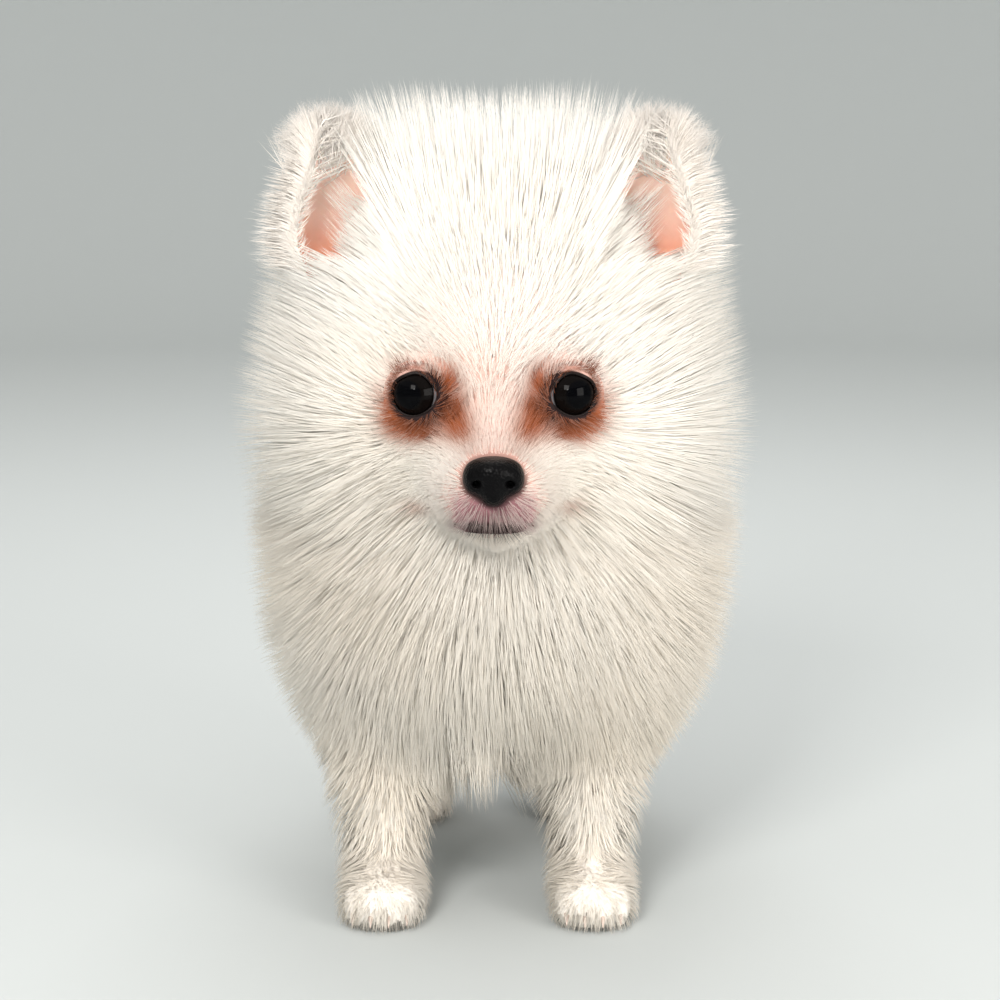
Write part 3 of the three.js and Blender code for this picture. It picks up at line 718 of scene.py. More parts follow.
def tufts(name, spine, width, broad, facing, uv, masks, even=tuft["even"]):
    # A closed blade: a flat three-sided ring at each point of the spine but the last, which is the tip
    count, rings = spine.shape[0], spine.shape[1] - 1
    along = unit(np.gradient(spine, axis=1))[:, :rings]
    across = unit(np.cross(along, broad[:, None]))
    out = np.cross(across, along)
    t = np.linspace(0, 1, rings + 1)[:rings]
    w = width[:, None] * (1 - tuft["narrow"] * t ** 1.8)
    w = w[..., None] / 2
    centre = spine[:, :rings]
    ring = np.stack([centre + across * w, centre + out * w * tuft["thin"] * 2, centre - across * w], 2)
    points = np.concatenate([ring.reshape(count, rings * 3, 3), spine[:, -1:]], 1)
    pattern = []
    for k in range(rings - 1):
        for j in range(3):
            a, b = 3 * k + j, 3 * k + (j + 1) % 3
            pattern += [(a, a + 3, b), (b, a + 3, b + 3)]
    last = 3 * (rings - 1)
    pattern += [(last + j, 3 * rings, last + (j + 1) % 3) for j in range(3)] + [(0, 1, 2)]
    size = 3 * rings + 1
    faces = (np.arange(count)[:, None, None] * size + np.array(pattern)).reshape(-1, 3)
    points[..., 2] = np.maximum(points[..., 2], tuft["floor"])
    piece = meshObject(name, points.reshape(-1, 3), faces, coatStuff)
    patch = [[j - 1, mix(-1, 1, k / rings)] for k in range(rings) for j in range(3)] + [[0, 1]]
    spots = (uv[:, None] + np.array(patch) * tuft["patch"]).reshape(-1, 2)
    layer = piece.data.uv_layers.new(name="OFBake")
    layer.data.foreach_set("uv", np.clip(spots[faces.ravel()], 0, 1).astype(np.float32).ravel())
    heart = np.concatenate([np.repeat(centre, 3, axis=1), spine[:, -1:] - along[:, -1:] * 0.1], 1)
    own = unit(points - heart)
    bend = piece.data.attributes.new("custom_normal", "FLOAT_VECTOR", "POINT")
    bend.data.foreach_set("vector", unit(mix(own, facing[:, None], even)).astype(np.float32).ravel())
    setValues(piece.data, "share", np.tile(np.append(np.repeat(t, 3), 1.0), count))
    for key, values in masks.items():
        setValues(piece.data, key, np.repeat(values, size))


def lieOf(points, normals):
    # The way the hair lies: on the head away from the nose and round the eyes, on the chest down,
    # on the body back and down, on the legs down
    x, y, z = points.T
    sideways = np.clip(np.abs(x) / 45, 0, 1)
    low = np.clip((150 - z) / 40, 0, 1)
    head = unit(points - np.array(body["muzzleTip"]))
    head[:, 2] += 0.35 * (1 - sideways) - 0.75 * low * sideways
    head[:, 1] += 0.25
    head[:, 0] += 0.7 * smooth(-30, -44, y) * gauss(z - 163, 8) * np.clip(x / 16, -1, 1)
    for s in (-1, 1):
        away = points - eyeOf(s)
        far = np.linalg.norm(away, axis=1)
        head += away / far[:, None] * (1.5 * gauss(far - 8, 4))[:, None]
    front = smooth(-8, -36, y)
    apart = 0.15 * np.clip(x / 30, -1, 1) * front
    trunk = np.stack([apart, mix(0.85, 0.05, front), mix(-0.45, -1.0, front)], 1)
    leg = np.stack([0 * low, np.full_like(low, 0.12), np.full_like(low, -1.0)], 1)
    toHead = smooth(100, 130, z - 0.45 * np.maximum(y + 30, 0))[:, None]
    toLeg = smooth(60, 44, z)[:, None]
    lie = mix(mix(unit(trunk), unit(head), toHead), leg, toLeg)
    lie = lie - normals * (lie * normals).sum(1)[:, None]
    return unit(lie)


def clumpTips(roots, tips, size, pull):
    # Hairs whose roots share one cell of a warped grid lean to the mean of their tips
    warp = np.stack([wave(roots, 9.0, n) for n in (3, 4, 5)], 1) * size
    cell = np.floor((roots + warp) / size).astype(np.int64)
    key = (cell[:, 0] * 4001 + cell[:, 1]) * 4001 + cell[:, 2]
    ids = np.unique(key, return_inverse=True)[1]
    number = np.bincount(ids)
    mean = np.stack([np.bincount(ids, tips[:, n]) / number for n in range(3)], 1)[ids]
    strength = pull * (0.4 + 1.2 * np.random.default_rng(7).random(len(number)))[ids][:, None]
    return mix(tips, mean, np.clip(strength, 0, 0.85))


def bent(root, middle, tip):
    # A quadratic curve from root to tip that leans towards the middle point
    t = np.linspace(0, 1, tuft["bends"] + 1)[None, :, None]
    return root[:, None] * (1 - t) ** 2 + 2 * middle[:, None] * t * (1 - t) + tip[:, None] * t ** 2


# The part of each cup that the coat leaves open
earWindow = {"low": 185.0, "high": 214.0, "lowX": 30.0, "highX": 42.0, "outerX": 60.0}


def inCup(points):
    # True in front of the open cup of either ear, whose inner edge leans outwards as it rises
    x, z = np.abs(points[:, 0]), points[:, 2]
    rise = (z - earWindow["low"]) / (earWindow["high"] - earWindow["low"])
    inner = mix(earWindow["lowX"], earWindow["highX"], rise)
    return (rise > 0) & (rise < 1) & (points[:, 1] < 2) & (x > inner) & (x < earWindow["outerX"])


def clearOfFace(points, offEye, offNose):
    # Moves points out of a cone of sight in front of each eye, and away from the nose leather
    for s in (-1, 1):
        axis, centre = lookOf(s), eyeOf(s)
        q = points - centre
        along = q @ axis
        flat = q - along[:, None] * axis
        far = np.linalg.norm(flat, axis=1)
        want = offEye + 0.12 * np.maximum(along, 0)
        push = np.where(along > 0, np.maximum(want - far, 0), 0)
        points = points + unit(flat) * push[:, None]
    q = (points - noseAt) * np.array([1, 0, 1.15])
    far = np.linalg.norm(q, axis=1)
    push = np.where(points[:, 1] < -72, np.maximum(offNose - far, 0), 0)
    return points + q / (far[:, None] + 1e-6) * push[:, None]


# count, pieces, width at the root, size of a lock, how far its tips draw together,
# shortest and longest share of the coat's depth, and how far a hair rises and lies, with a least lie
coat = {
    "head": (32000, 2, 0.40, 4.5, 0.09, (0.88, 1.08), (0.85, 0.7, 1.0)),
    "ruff": (32000, 2, 0.42, 5.5, 0.13, (0.86, 1.10), (0.85, 0.75, 1.0)),
    "trunk": (20000, 2, 0.48, 6.0, 0.22, (0.86, 1.06), (0.8, 0.9, 1.0)),
    "under": (6500, 1, 0.60, 5.0, 0.10, (0.5, 0.8), (0.85, 0.6, 1.0)),
    "face": (25000, 2, 0.23, 2.2, 0.12, (0.6, 1.0), (0.45, 0.9, 1.6)),
    "legs": (14500, 1, 0.34, 3.5, 0.18, (0.7, 1.1), (0.5, 0.9, 2.2)),
    "tail": (9500, 1, 0.44, 6.0, 0.25, (0.8, 1.06), (0.85, 0.8, 1.0)),
}
longer = {"bib": 24.0, "chin": 2.5}  # added to the lie of the hair there
# Kept clear of the eyes (tips, middle) and of the nose, and the share of a hair left in the cups
room = {"tips": 6.3, "middle": 6.6, "nose": 8.0, "cup": 0.3}


def tailShare(points):
    return (onTail(points) > 0.5).astype(float)


def isFaceSide(points):
    # 1 on the short-haired front of the head
    return smooth(-34, -42, points[:, 1]) * smooth(100, 108, points[:, 2])


def longShare(points):
    # 1 where the coat is deep
    return smooth(3.5, 8, -coatField(points)) * (1 - tailShare(points))


def onHead(points):
    return smooth(108, 134, points[:, 2] - 0.5 * np.maximum(points[:, 1], -30))


def headDensity(points):
    return longShare(points) * onHead(points)


def belowHead(points):
    return longShare(points) * (1 - onHead(points))


def ruffDensity(points):
    return belowHead(points) * smooth(20, 4, points[:, 1]) * smooth(30, 50, points[:, 2])


def trunkDensity(points):
    return belowHead(points) * smooth(4, 20, points[:, 1]) * smooth(20, 60, points[:, 2])


def bareOf(points):
    # 0 in the eyes, on the nose leather and in the middle of the mouth
    inEye = np.minimum(*[np.linalg.norm(points - eyeOf(s), axis=1) for s in (-1, 1)])
    lips = np.maximum(alongPath(points, mouthPath), 3 * smooth(6, 11, np.abs(points[:, 0])))
    return smooth(7.5, 7.9, inEye) * smooth(0.1, 0.5, noseField(points)) * smooth(0.6, 1.4, lips)


def faceDensity(points):
    muzzle = smooth(-50, -60, points[:, 1])
    shallow = smooth(13.5, 7, -coatField(points))
    thin = bareOf(points) * (1 - 0.6 * mauveAt(points))
    return shallow * isFaceSide(points) * (0.8 + 1.4 * muzzle) * thin


def legDensity(points):
    elsewhere = (1 - isFaceSide(points)) * (1 - tailShare(points))
    return smooth(9, 5, -coatField(points)) * elsewhere * smooth(1, 3, points[:, 2])


def hairMarks(roots, tips):
    # The markings half way along each hair, with the lids' dark hairs turned browner, and a tone: cream at
    # random, plus cream that grows towards the bottom, partly the coat's own colour and partly painted shade
    seen = mix(roots, tips, 0.5)
    marks = markings(seen)
    stain, dark = marks["stain"], marks["dark"]
    dz, fromEye, front = eyePlane(seen)[1:]
    stain = np.maximum(stain, 0.8 * gauss(fromEye - 8.0, 1.2) * smooth(5, -3, dz) * front)
    roundEye = gauss(np.maximum(fromEye - 7, 0), 4) * front
    stain = np.maximum(stain, 0.95 * dark * roundEye)
    dark = dark * mix(1.0, mix(0.5, 0.2, smooth(2, 6, dz)), roundEye)
    dark = np.maximum(dark, 0.5 * gauss(fromEye - 8.0, 1.6) * smooth(3, -4, dz) * front)
    patchy = 0.85 + 0.3 * rng.random(len(roots))
    # cream at random and in patches, plus a share that grows towards the bottom: partly the coat's own cream,
    # partly painted shade low on the body
    toneAndShade = 0.35 * rng.random(len(roots)) + 0.2 * wave(roots, 10.0, 31) + 0.45 * smooth(165, 95, roots[:, 2])
    return {
        "stain": np.clip(stain * patchy, 0, 1),
        "pink": marks["pink"] * 0.55,
        "mauve": marks["mauve"] * 0.5,
        "dark": np.clip(dark * patchy, 0, 0.95),
        "toneAndShade": np.clip(toneAndShade, 0, 1),
    }


def growCoat(name, density):
    # Hairs rise from the skin and lie over, and their tips are settled a set share below the coat's outline
    count, pieces, broadness, lock, pull, (low, high), (rise, lean, least) = coat[name]
    roots, uv = rootsOn(skinPoints, skinFaces, skinUv, count, density)
    normals = slope(fleshField, roots)
    outline = tailCoatField if name == "tail" else coatField
    depth = np.clip(-outline(roots), 1.2, 60)
    lie = lieOf(roots, normals)
    if name == "tail":
        lie = unit(np.stack([0 * depth, 140 - roots[:, 2], roots[:, 1] - 62], 1))  # round the curl
        lie = unit(lie - normals * (lie * normals).sum(1)[:, None])
    noise = np.stack([wave(roots, 12.0, n) for n in (11, 12, 13)], 1)
    lie = unit(lie + 0.22 * noise + 0.13 * rng.normal(size=roots.shape))
    share = low + (high - low) * rng.random(count) ** 0.8
    share *= 1 + 0.03 * wave(roots, 7.0, 21)
    length = depth * share
    x, y, z = roots.T
    bib = gauss(x + 5, 12) * smooth(94, 70, z) * smooth(-10, -28, y)
    chin = gauss(x, 14) * gauss(z - 111, 5) * smooth(-40, -48, y)
    run = length * lean + least + longer["bib"] * bib + longer["chin"] * chin
    tips = roots + normals * (length * rise)[:, None] + lie * run[:, None]
    for _ in range(3):
        over = outline(tips) + depth * (1 - share)
        tips -= slope(outline, tips, 0.8) * np.clip(over, -5, 12)[:, None]
    tips = clumpTips(roots, tips, lock, pull)
    tips += rng.normal(size=tips.shape) * (0.025 * length + 0.08)[:, None]
    middle = roots + normals * (length * 0.5)[:, None] + lie * (run * 0.22)[:, None]
    tips = clearOfFace(tips, room["tips"], room["nose"])
    middle = clearOfFace(middle, room["middle"], room["nose"])
    inWay = inCup(tips) | inCup(middle) | inCup(mix(middle, tips, 0.5))
    cut = np.where(inWay, room["cup"], 1.0)[:, None]
    tips, middle = mix(roots, tips, cut), mix(roots, middle, cut)
    spine = bent(roots - normals * 0.3, middle, tips)
    hairLength = np.linalg.norm(tips - roots, axis=1)
    width = broadness * (0.7 + 0.5 * rng.random(count)) * np.clip(hairLength / 10, 0.6, 1)
    broad = unit(normals + rng.normal(size=roots.shape) * 0.5)
    facing = slope(outline, tips, 2.0)
    masks = hairMarks(roots, tips)
    edges = np.linspace(0, count, pieces + 1).astype(int)
    for k, (a, b) in enumerate(zip(edges[:-1], edges[1:])):
        label = f"coat_{name}_{k + 1}" if pieces > 1 else f"coat_{name}"
        part = [values[a:b] for values in (spine, width, broad, facing, uv)]
        tufts(label, *part, {m: values[a:b] for m, values in masks.items()})
    print("coat", name, count, "tufts")


densities = (headDensity, ruffDensity, trunkDensity, longShare, faceDensity, legDensity, tailShare)
for name, density in zip(coat, densities):
    growCoat(name, density)

# Eyes

# cast: the pupil looks further out than the lids; reach: the polar angle of the last stop
eyeLook = {"rings": 48, "sides": 64, "cast": 0.12, "bulge": 0.3, "reach": 1.15,
           "roughness": 0.04, "shine": 0.09}
eyeStops = (
    (0.0, (0.001, 0.001, 0.0015)),    # pupil
    (0.42, (0.001, 0.001, 0.0015)),
    (0.50, (0.003, 0.0022, 0.002)),   # iris
    (0.76, (0.004, 0.003, 0.0028)),
    (0.885, (0.001, 0.001, 0.001)),   # its dark edge
    (0.94, (0.20, 0.19, 0.20)),       # white of the eye
)


def eyeBall(s):
    # A sphere about the line of sight, with a low bulge over the iris
    polar = np.linspace(0, np.pi, eyeLook["rings"] + 1)[1:-1]
    turn = np.linspace(0, 2 * np.pi, eyeLook["sides"], endpoint=False)
    out = body["eyeOutward"] + eyeLook["cast"]
    axis = unit(np.array([s * np.sin(out), -np.cos(out), 0.03]))
    side = unit(np.cross(axis, [0, 0, 1.0]))
    upward = np.cross(side, axis)
    radius = body["eyeRadius"] - 0.15 + eyeLook["bulge"] * smooth(0.95, 0.3, polar)
    flat = (np.sin(polar) * radius)[:, None, None]
    spin = side * np.cos(turn)[:, None] + upward * np.sin(turn)[:, None]
    rings = axis * (np.cos(polar) * radius)[:, None, None] + flat * spin
    points = np.concatenate([rings.reshape(-1, 3), [axis * radius[0], -axis * radius[-1]]]) + eyeOf(s)
    return points, polar


def sphereFaces(rows, sides):
    # Triangles between closed rings, and two fans to the points that follow the last ring
    index = np.arange(rows * sides).reshape(rows, sides)
    after = np.roll(index, -1, axis=1)
    a = np.stack([index[:-1], index[1:], after[1:]], -1).reshape(-1, 3)
    b = np.stack([index[:-1], after[1:], after[:-1]], -1).reshape(-1, 3)
    first = np.stack([np.full(sides, rows * sides), index[0], after[0]], 1)
    last = np.stack([np.full(sides, rows * sides + 1), after[-1], index[-1]], 1)
    return np.concatenate([a, b, first, last])


def eyeMaterial():
    material, tree, shader = newMaterial("eye", eyeLook["roughness"], eyeLook["shine"], IOR=1.33)
    ramp = node(tree, "ShaderNodeValToRGB")
    while len(ramp.color_ramp.elements) < len(eyeStops):
        ramp.color_ramp.elements.new(0.5)
    for element, (place, colour) in zip(ramp.color_ramp.elements, eyeStops):
        element.position, element.color = place, (*colour, 1)
    link(tree, attribute(tree, "polar"), ramp.inputs["Fac"])
    link(tree, ramp.outputs["Color"], shader["Base Color"])
    return material


eyeStuff = eyeMaterial()
for s, label in bothSides:
    points, polar = eyeBall(s)
    eye = meshObject(f"eyeball_{label}", points, sphereFaces(len(polar), eyeLook["sides"]), eyeStuff)
    angle = np.concatenate([np.repeat(polar, eyeLook["sides"]), [0, np.pi]])
    setValues(eye.data, "polar", np.clip(angle / eyeLook["reach"], 0, 1))
    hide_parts(f"eye_{label}")
print("eyes set")

# Lids: a dark rim on the ball round an almond opening, and a band of skin from it to the socket

lid = {
    "wide": 5.85, "high": 5.75,    # half the opening
    "corner": 0.9, "flat": 0.13,   # drawn out at the nose side, flattened above the outer side
    "thick": 0.45, "outer": 7.0,   # half the rim, and how far the band reaches
    "bandThick": 0.42, "points": 72, "sides": 10,
}


def lidRing(s, isBand):
    # An oval tube along the opening, a rounded ellipse on a sphere a little larger than the eye
    t = np.linspace(0, 2 * np.pi, lid["points"], endpoint=False)
    axis = lookOf(s)
    side = unit(np.cross(axis, [0, 0, 1.0])) * -s
    upward = unit(np.cross(axis, np.cross([0, 0, 1.0], axis)))
    noseSide = np.clip(-np.cos(t), 0, 1)
    flat = 1 - lid["flat"] * np.exp(-((t - 1.15) / 0.6) ** 2)
    x = np.cos(t) * (lid["wide"] + lid["corner"] * noseSide ** 8) * flat
    z = np.sin(t) * lid["high"] * flat - 0.5 * noseSide ** 4
    opening = np.hypot(x, z)
    if isBand:
        middle, across = (opening + lid["outer"]) / 2, (lid["outer"] - opening) / 2 + 0.1
        height = lid["bandThick"]
    else:
        middle, across = opening, np.full(len(t), lid["thick"])
        height = lid["thick"] * 0.75
    x, z = x * middle / opening, z * middle / opening
    radius = body["eyeRadius"] + 0.25
    depth = np.sqrt(np.maximum(radius ** 2 - x ** 2 - z ** 2, 2.0))
    line = eyeOf(s) + axis * depth[:, None] + side * x[:, None] + upward * z[:, None]
    out = unit(line - eyeOf(s))
    along = unit(np.roll(line, -1, 0) - np.roll(line, 1, 0))
    sideways = np.cross(along, out) * across[:, None]
    turn = np.linspace(0, 2 * np.pi, lid["sides"], endpoint=False)[:, None]
    ring = line[:, None] + height * out[:, None] * np.sin(turn) + sideways[:, None] * np.cos(turn)
    index = np.arange(ring.shape[0] * ring.shape[1]).reshape(ring.shape[:2])
    a, b = np.roll(index, -1, 0), np.roll(index, -1, 1)
    faces = np.stack([index, a, np.roll(a, -1, 1), b], -1).reshape(-1, 4)
    return ring.reshape(-1, 3), faces if s < 0 else faces[:, ::-1]


lidStuff = speckled("lidRim", 0.35, 0.15, 1400, (0.004, 0.003, 0.003), (0.016, 0.009, 0.008), (0.3, 0.0002))
for s, label in bothSides:
    points, faces = lidRing(s, False)
    rim = meshObject(f"lid_rim_{label}", points, faces, lidStuff)
    points, faces = lidRing(s, True)
    band = meshObject(f"lid_{label}", points, faces, skinStuff)
    setMarks(band.data, {**markings(points), "cover": np.zeros(len(points))})
print("lids set")

# Nose leather

noseWet = {"Coat Weight": 0.03, "Coat Roughness": 0.1}
noseStuff = speckled("noseLeather", 0.36, 0.06, 1500, (0.0008, 0.0008, 0.001), (0.003, 0.0026, 0.003),
                     (0.4, 0.0004), **noseWet)
noseLines = [np.arange(-10, 10.01, noseShape["step"]) + noseAt[n] for n in range(3)]
nosePoints, noseFaces = netSurface(noseField, noseLines)
nosePoints = settle(noseField, nosePoints, 2, 0.4)
nosePiece = meshObject("nose_leather", nosePoints, noseFaces, noseStuff)
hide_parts("nose")
print("nose set")

# Ears: a cup open to the front and a little outwards, furred behind and along its rim

ear = {
    "x": 38.5, "y": -20.0, "z": 184.0, "sunk": 9.0,  # sunk: how far the cup starts below z
    "height": 42.0, "width": 26.0, "depth": 9.0, "wall": 1.0,
    "lean": 0.13, "turn": 0.3, "pitch": -0.1,        # radians
    "across": 28, "rows": 30,
}


def earHalf(v):
    # Half the width at height v: full at a quarter, drawn in a little below, down to a narrow tip
    taper = 0.5 + 0.5 * np.cos(np.pi * np.clip((v - 0.25) / 0.8, 0, 1))
    return ear["width"] / 2 * (0.16 + 0.84 * taper) * np.where(v < 0.25, mix(0.86, 1, v / 0.25), 1)


def turned(points, axis, angle):
    # Turn about a main axis by the right-hand rule
    a, b = (axis + 1) % 3, (axis + 2) % 3
    made = points.copy()
    made[..., a] = points[..., a] * np.cos(angle) - points[..., b] * np.sin(angle)
    made[..., b] = points[..., a] * np.sin(angle) + points[..., b] * np.cos(angle)
    return made


def earPoint(s, u, v, wall):
    # u runs across the cup, v from base to tip: a bowed arc that narrows upwards
    radial = earHalf(v) + wall
    angle = (u - 0.5) * np.pi * 0.94
    bowl = ear["depth"] / (ear["width"] / 2) * radial * np.cos(angle)
    place = np.stack([s * radial * np.sin(angle), bowl, v * ear["height"] - 2.5 * v * np.cos(angle)], -1)
    place = turned(place, 2, -ear["turn"] * s)
    place = turned(place, 1, ear["lean"] * s)
    place = turned(place, 0, ear["pitch"])
    return place + np.array([ear["x"] * s, ear["y"], ear["z"] - ear["sunk"]])


earLook = {
    "deep": ((0.80, 0.26, 0.14), (0.90, 0.37, 0.23)),  # low in the cup
    "upper": (0.95, 0.56, 0.46),
    "back": (0.90, 0.83, 0.76),
}


def earMaterial():
    settings = {"Subsurface Weight": 0.25, "Subsurface Scale": 0.004}
    material, tree, shader = newMaterial("earSkin", 0.5, **settings)
    value, height = grain(tree, 500)
    low = mixColour(tree, value, *earLook["deep"])
    pinkish = mixColour(tree, attribute(tree, "rise"), low, earLook["upper"])
    colour = mixColour(tree, attribute(tree, "back"), pinkish, earLook["back"])
    link(tree, colour, shader["Base Color"])
    link(tree, bump(tree, height, 0.2, 0.0004), shader["Normal"])
    return material


earStuff = earMaterial()


def earPiece(s, label):
    # An inner and an outer sheet with a rim between them
    u, v = np.meshgrid(np.linspace(0, 1, ear["across"] + 1), np.linspace(0, 1, ear["rows"] + 1))
    inner, outer = earPoint(s, u, v, 0 * v), earPoint(s, u, v, ear["wall"] * (1 - 0.5 * v))
    points = np.concatenate([inner.reshape(-1, 3), outer.reshape(-1, 3)])
    size = u.size
    index = np.arange(size).reshape(u.shape)
    sheet = np.stack([index[:-1, :-1], index[:-1, 1:], index[1:, 1:], index[1:, :-1]], -1).reshape(-1, 4)
    rear = sheet[:, [0, 3, 2, 1]] + size
    edge = np.concatenate([index[0, :], index[1:, -1], index[-1, -2::-1], index[-2:0:-1, 0]])
    rim = np.stack([edge, edge + size, np.roll(edge, -1) + size, np.roll(edge, -1)], -1)
    faces = np.concatenate([sheet, rear, rim])
    piece = meshObject(f"ear_cup_{label}", points, faces if s > 0 else faces[:, ::-1], earStuff)
    pale = np.maximum(smooth(0.92, 1.0, np.abs(2 * u - 1)), smooth(0.70, 0.95, v)).ravel()
    setValues(piece.data, "back", np.append(pale, np.ones(size)))
    setValues(piece.data, "rise", np.tile(smooth(0.12, 0.5, v).ravel(), 2))
    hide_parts(f"ear_{label}")


# Back hairs stand up and away, rim and edge hairs fan out from the cup and lean over its rim both ways,
# those inside rise from its inner edge and cross it, and the crest is a round tuft about the tip
earFur = {  # count, length, out, up, width
    "back": (1600, 11.0, 0.6, 0.7, 0.38),
    "rim": (1800, 12.0, 0.95, 0.2, 0.38),
    "edge": (2000, 6.5, 0.6, 0.55, 0.209),
    "inside": (260, 15.0, 0.25, 0.95, 0.1292),
    "crest": (1800, 18.0, 0.0, 0.0, 0.38),
}


def earTufts(s, label):
    counts, *sizes = zip(*earFur.values())
    kinds = np.repeat(list(earFur), counts)
    isBack, isRim, isEdge, isInside, isCrest = (kinds == k for k in earFur)
    full, out, up, broadness = (np.repeat(values, counts) for values in sizes)
    count = len(kinds)
    u, v = rng.random((2, count))
    v = 0.06 + 0.94 * v ** 0.8
    outerSide = rng.random(count) < 0.6
    atTip = (isRim | isEdge) & (rng.random(count) < 0.1)
    inset = np.where(atTip, 0.3, np.where(isRim, 0.06, 0.04)) * rng.random(count)
    u = np.where((isRim | isEdge) & ~atTip, np.where(outerSide, 1 - inset, inset), u)
    v = np.where(atTip, 1 - inset, np.minimum(v, 0.9))
    u = np.where(isInside, 0.04 + 0.3 * rng.random(count), u)
    v = np.where(isInside, 0.03 + 0.45 * rng.random(count), v)
    v = np.where(isCrest, 0.5 + 0.5 * rng.random(count), v)
    share = np.where(isInside, 0, rng.random(count))
    wall = np.where(isBack | isCrest, ear["wall"], ear["wall"] * share) * (1 - 0.5 * v)
    roots = earPoint(s, u, v, wall)
    normals = unit(earPoint(s, u, v, wall + 4) - roots) * np.where(isEdge | isInside, -1.0, 1.0)[:, None]
    upward = unit(earPoint(s, u, np.minimum(v + 0.05, 1.05), wall) - roots)
    middleLine = earPoint(s, np.full(count, 0.5), np.minimum(v, 0.72), wall)
    fan = unit((roots - middleLine) * np.array([1, 0.3, 1]) + np.array([0, -1.5, 0]))
    length = full * (0.65 + 0.5 * rng.random(count)) * np.where(v > 0.85, 0.6, 1.0)
    over = unit(fan * rng.uniform(np.where(v < 0.7, -0.7, 0.2), 1.0)[:, None] + np.array([0, -0.5, 0]))
    outward = np.where(isRim[:, None], fan, np.where(isEdge[:, None], over, normals))
    diagonal = unit(np.array([0.85 * s, -0.2, 0.9]))
    lie = np.where(isInside[:, None], diagonal, upward)
    tips = roots + outward * (length * out)[:, None] + lie * (length * up)[:, None]
    spread = rng.uniform(-1.35, 1.25, count)
    around = unit(np.stack([s * np.sin(spread), rng.uniform(-0.25, 0.5, count), np.cos(spread)], 1))
    heart = earPoint(s, np.full(count, 0.5), np.full(count, 0.80), 0 * v) + np.array([1.0 * s, 0, 0])
    crest = heart + around * (full * (0.8 + 0.2 * rng.random(count) ** 0.6))[:, None]
    tips = np.where(isCrest[:, None], crest, tips)
    tips += 0.05 * length[:, None] * rng.normal(size=roots.shape)
    middle = roots + outward * (length * 0.42)[:, None] + lie * (length * 0.2)[:, None]
    width = broadness * (0.7 + 0.5 * rng.random(count))
    none = np.zeros(count)
    masks = {"stain": none, "pink": none + 0.05, "mauve": none, "dark": none, "toneAndShade": 0.3 * rng.random(count)}
    facing = unit(np.where(isCrest[:, None], around, 0.5 * fan) + np.array([0, -0.5, 0.7]) + 0.25 * normals)
    broad = unit(normals + 0.4 * rng.normal(size=roots.shape))
    place = np.stack([u, v], 1) * 0.9 + 0.05
    tufts(f"coat_ear_{label}", bent(roots, middle, tips), width, broad, facing, place, masks, even=0.75)


for s, label in bothSides:
    earPiece(s, label)
    earTufts(s, label)
print("ears set")

# Claws

claw = {"length": 4.2, "radius": 0.95, "drop": 2.6, "sides": 10, "rings": 8}


def claws():
    # Each is a cone that curves down as it narrows, its root in the toe
    t = np.linspace(0, 1, claw["rings"] + 1)[:-1]
    turn = np.linspace(0, 2 * np.pi, claw["sides"], endpoint=False)
    line = np.stack([0 * t, -claw["length"] * np.sin(t * 1.1), -claw["drop"] * t ** 1.7], 1)
    radius = claw["radius"] * (1 - t ** 1.5) + 0.05
    oval = np.stack([0.8 * np.cos(turn), 0.45 * np.sin(turn), np.sin(turn)], 1)
    rings = (line[:, None] + radius[:, None, None] * oval).reshape(-1, 3)
    tip = [0, -claw["length"] * np.sin(1.1), -claw["drop"] - 0.15]
    one = np.concatenate([rings, [[0, 0, 0], tip]])
    roots = [(x + k * toeWidth, y - 15.2 + 1.6 * abs(k), 4.8) for x, y in paws for k in toes]
    points = np.array(roots)[:, None] + one
    starts = np.arange(len(roots))[:, None, None] * len(one)
    return points.reshape(-1, 3), (sphereFaces(claw["rings"], claw["sides"]) + starts).reshape(-1, 3)


clawStuff = speckled("claw", 0.35, 0.5, 700, (0.55, 0.42, 0.36), (0.72, 0.60, 0.52))
clawPoints, clawFaces = claws()
clawPoints[:, 2] = np.maximum(clawPoints[:, 2], 0.25)
clawPiece = meshObject("claws", clawPoints, clawFaces, clawStuff)
print("claws set")

# Floor, light and camera

studio = {
    "floor": (0.55, 0.58, 0.58),
    "world": (1.0, 0.98, 0.95),
    "worldStrength": 0.92,
    "flat": 1.6, "bend": 0.6, "wall": 1.3,  # metres
    "sides": 96,
    # place, what it points at, size, power, colour
    "lamps": {
        "key": ((-0.35, -0.95, 0.75), (0, 0, 0.12), 0.4, 9.0, (1.0, 0.97, 0.93)),
        "fill": ((0.75, -0.75, 0.30), (0, 0, 0.09), 0.5, 6.0, (1.0, 0.96, 0.92)),
        "glint": ((-0.22, -0.85, 0.50), (0, -0.05, 0.15), 0.05, 0.55, (1, 1, 1)),
        "top": ((0.0, 0.55, 0.90), (0, 0, 0.17), 0.6, 3.0, (1, 1, 1)),
    },
}


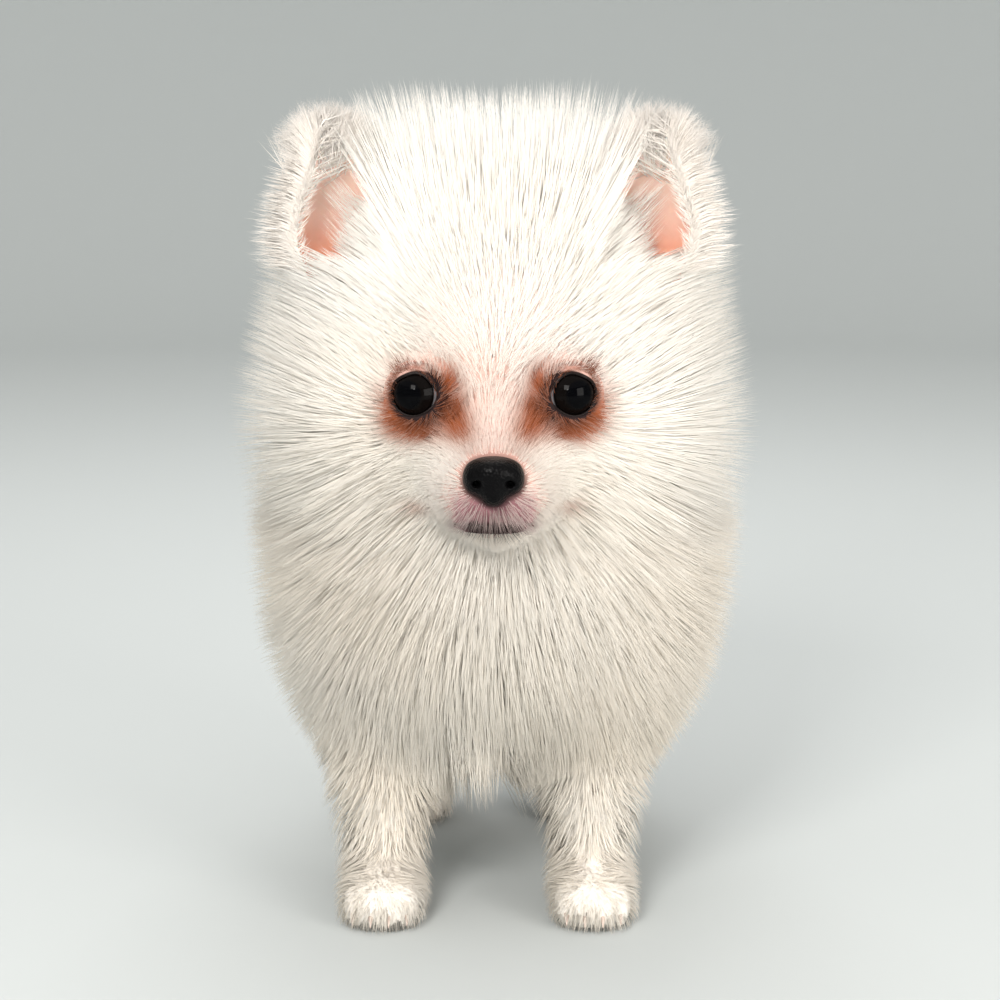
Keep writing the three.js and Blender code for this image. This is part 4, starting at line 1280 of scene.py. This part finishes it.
def floorPiece():
    # A profile of a level floor that bends up into a low wall, turned about the middle
    flat, bend, sides = studio["flat"], studio["bend"], studio["sides"]
    turn = np.linspace(0, np.pi / 2, 13)
    radius = np.concatenate([[0.0, 0.5, 1.0], flat + bend * np.sin(turn), [flat + bend]])
    height = np.concatenate([[0.0, 0.0, 0.0], bend - bend * np.cos(turn), [studio["wall"]]])
    around = np.linspace(0, 2 * np.pi, sides, endpoint=False)
    rise = np.outer(height, np.ones(sides))
    points = np.stack([np.outer(radius, np.cos(around)), np.outer(radius, np.sin(around)), rise], -1)
    index = np.arange(len(radius) * sides).reshape(-1, sides)
    after = np.roll(index, -1, 1)
    faces = np.stack([index[:-1], index[1:], after[1:], after[:-1]], -1).reshape(-1, 4)
    mesh = bpy.data.meshes.new("floor")
    mesh.from_pydata(points.reshape(-1, 3).tolist(), [], faces.tolist())
    mesh.polygons.foreach_set("use_smooth", np.full(len(faces), True))
    piece = placed("floor", mesh)
    material, tree, shader = newMaterial("floorPaper", 0.9)
    shader["Base Color"].default_value = (*studio["floor"], 1)
    mesh.materials.append(material)


floorPiece()


def areaLight(name, place, target, size, power, colour):
    lamp = bpy.data.lights.new(name, "AREA")
    lamp.energy, lamp.size, lamp.color = power, size, colour
    piece = placed(name, lamp)
    piece.location = place
    way = Vector(np.array(target) - np.array(place))
    piece.rotation_euler = way.to_track_quat("-Z", "Y").to_euler()


for name, settings in studio["lamps"].items():
    areaLight(name, *settings)
world = bpy.data.worlds.new("studio")
world.use_nodes = True
sky = world.node_tree.nodes["Background"].inputs
sky["Color"].default_value = (*studio["world"], 1)
sky["Strength"].default_value = studio["worldStrength"]
bpy.context.scene.world = world
bpy.context.scene.view_settings.view_transform = "Standard"

view = {"place": (1.6, -560.0, 210.0), "pitch": 10.0, "lens": 72.0}  # pitch: degrees below level
camera = bpy.data.cameras.new("camera")
camera.lens, camera.sensor_width = view["lens"], 36.0
camera.clip_start = 0.01
cameraPiece = placed("camera", camera)
cameraPiece.location = toMetres(np.array(view["place"]))
cameraPiece.rotation_euler = (np.radians(90 - view["pitch"]), 0, 0)
bpy.context.scene.camera = cameraPiece
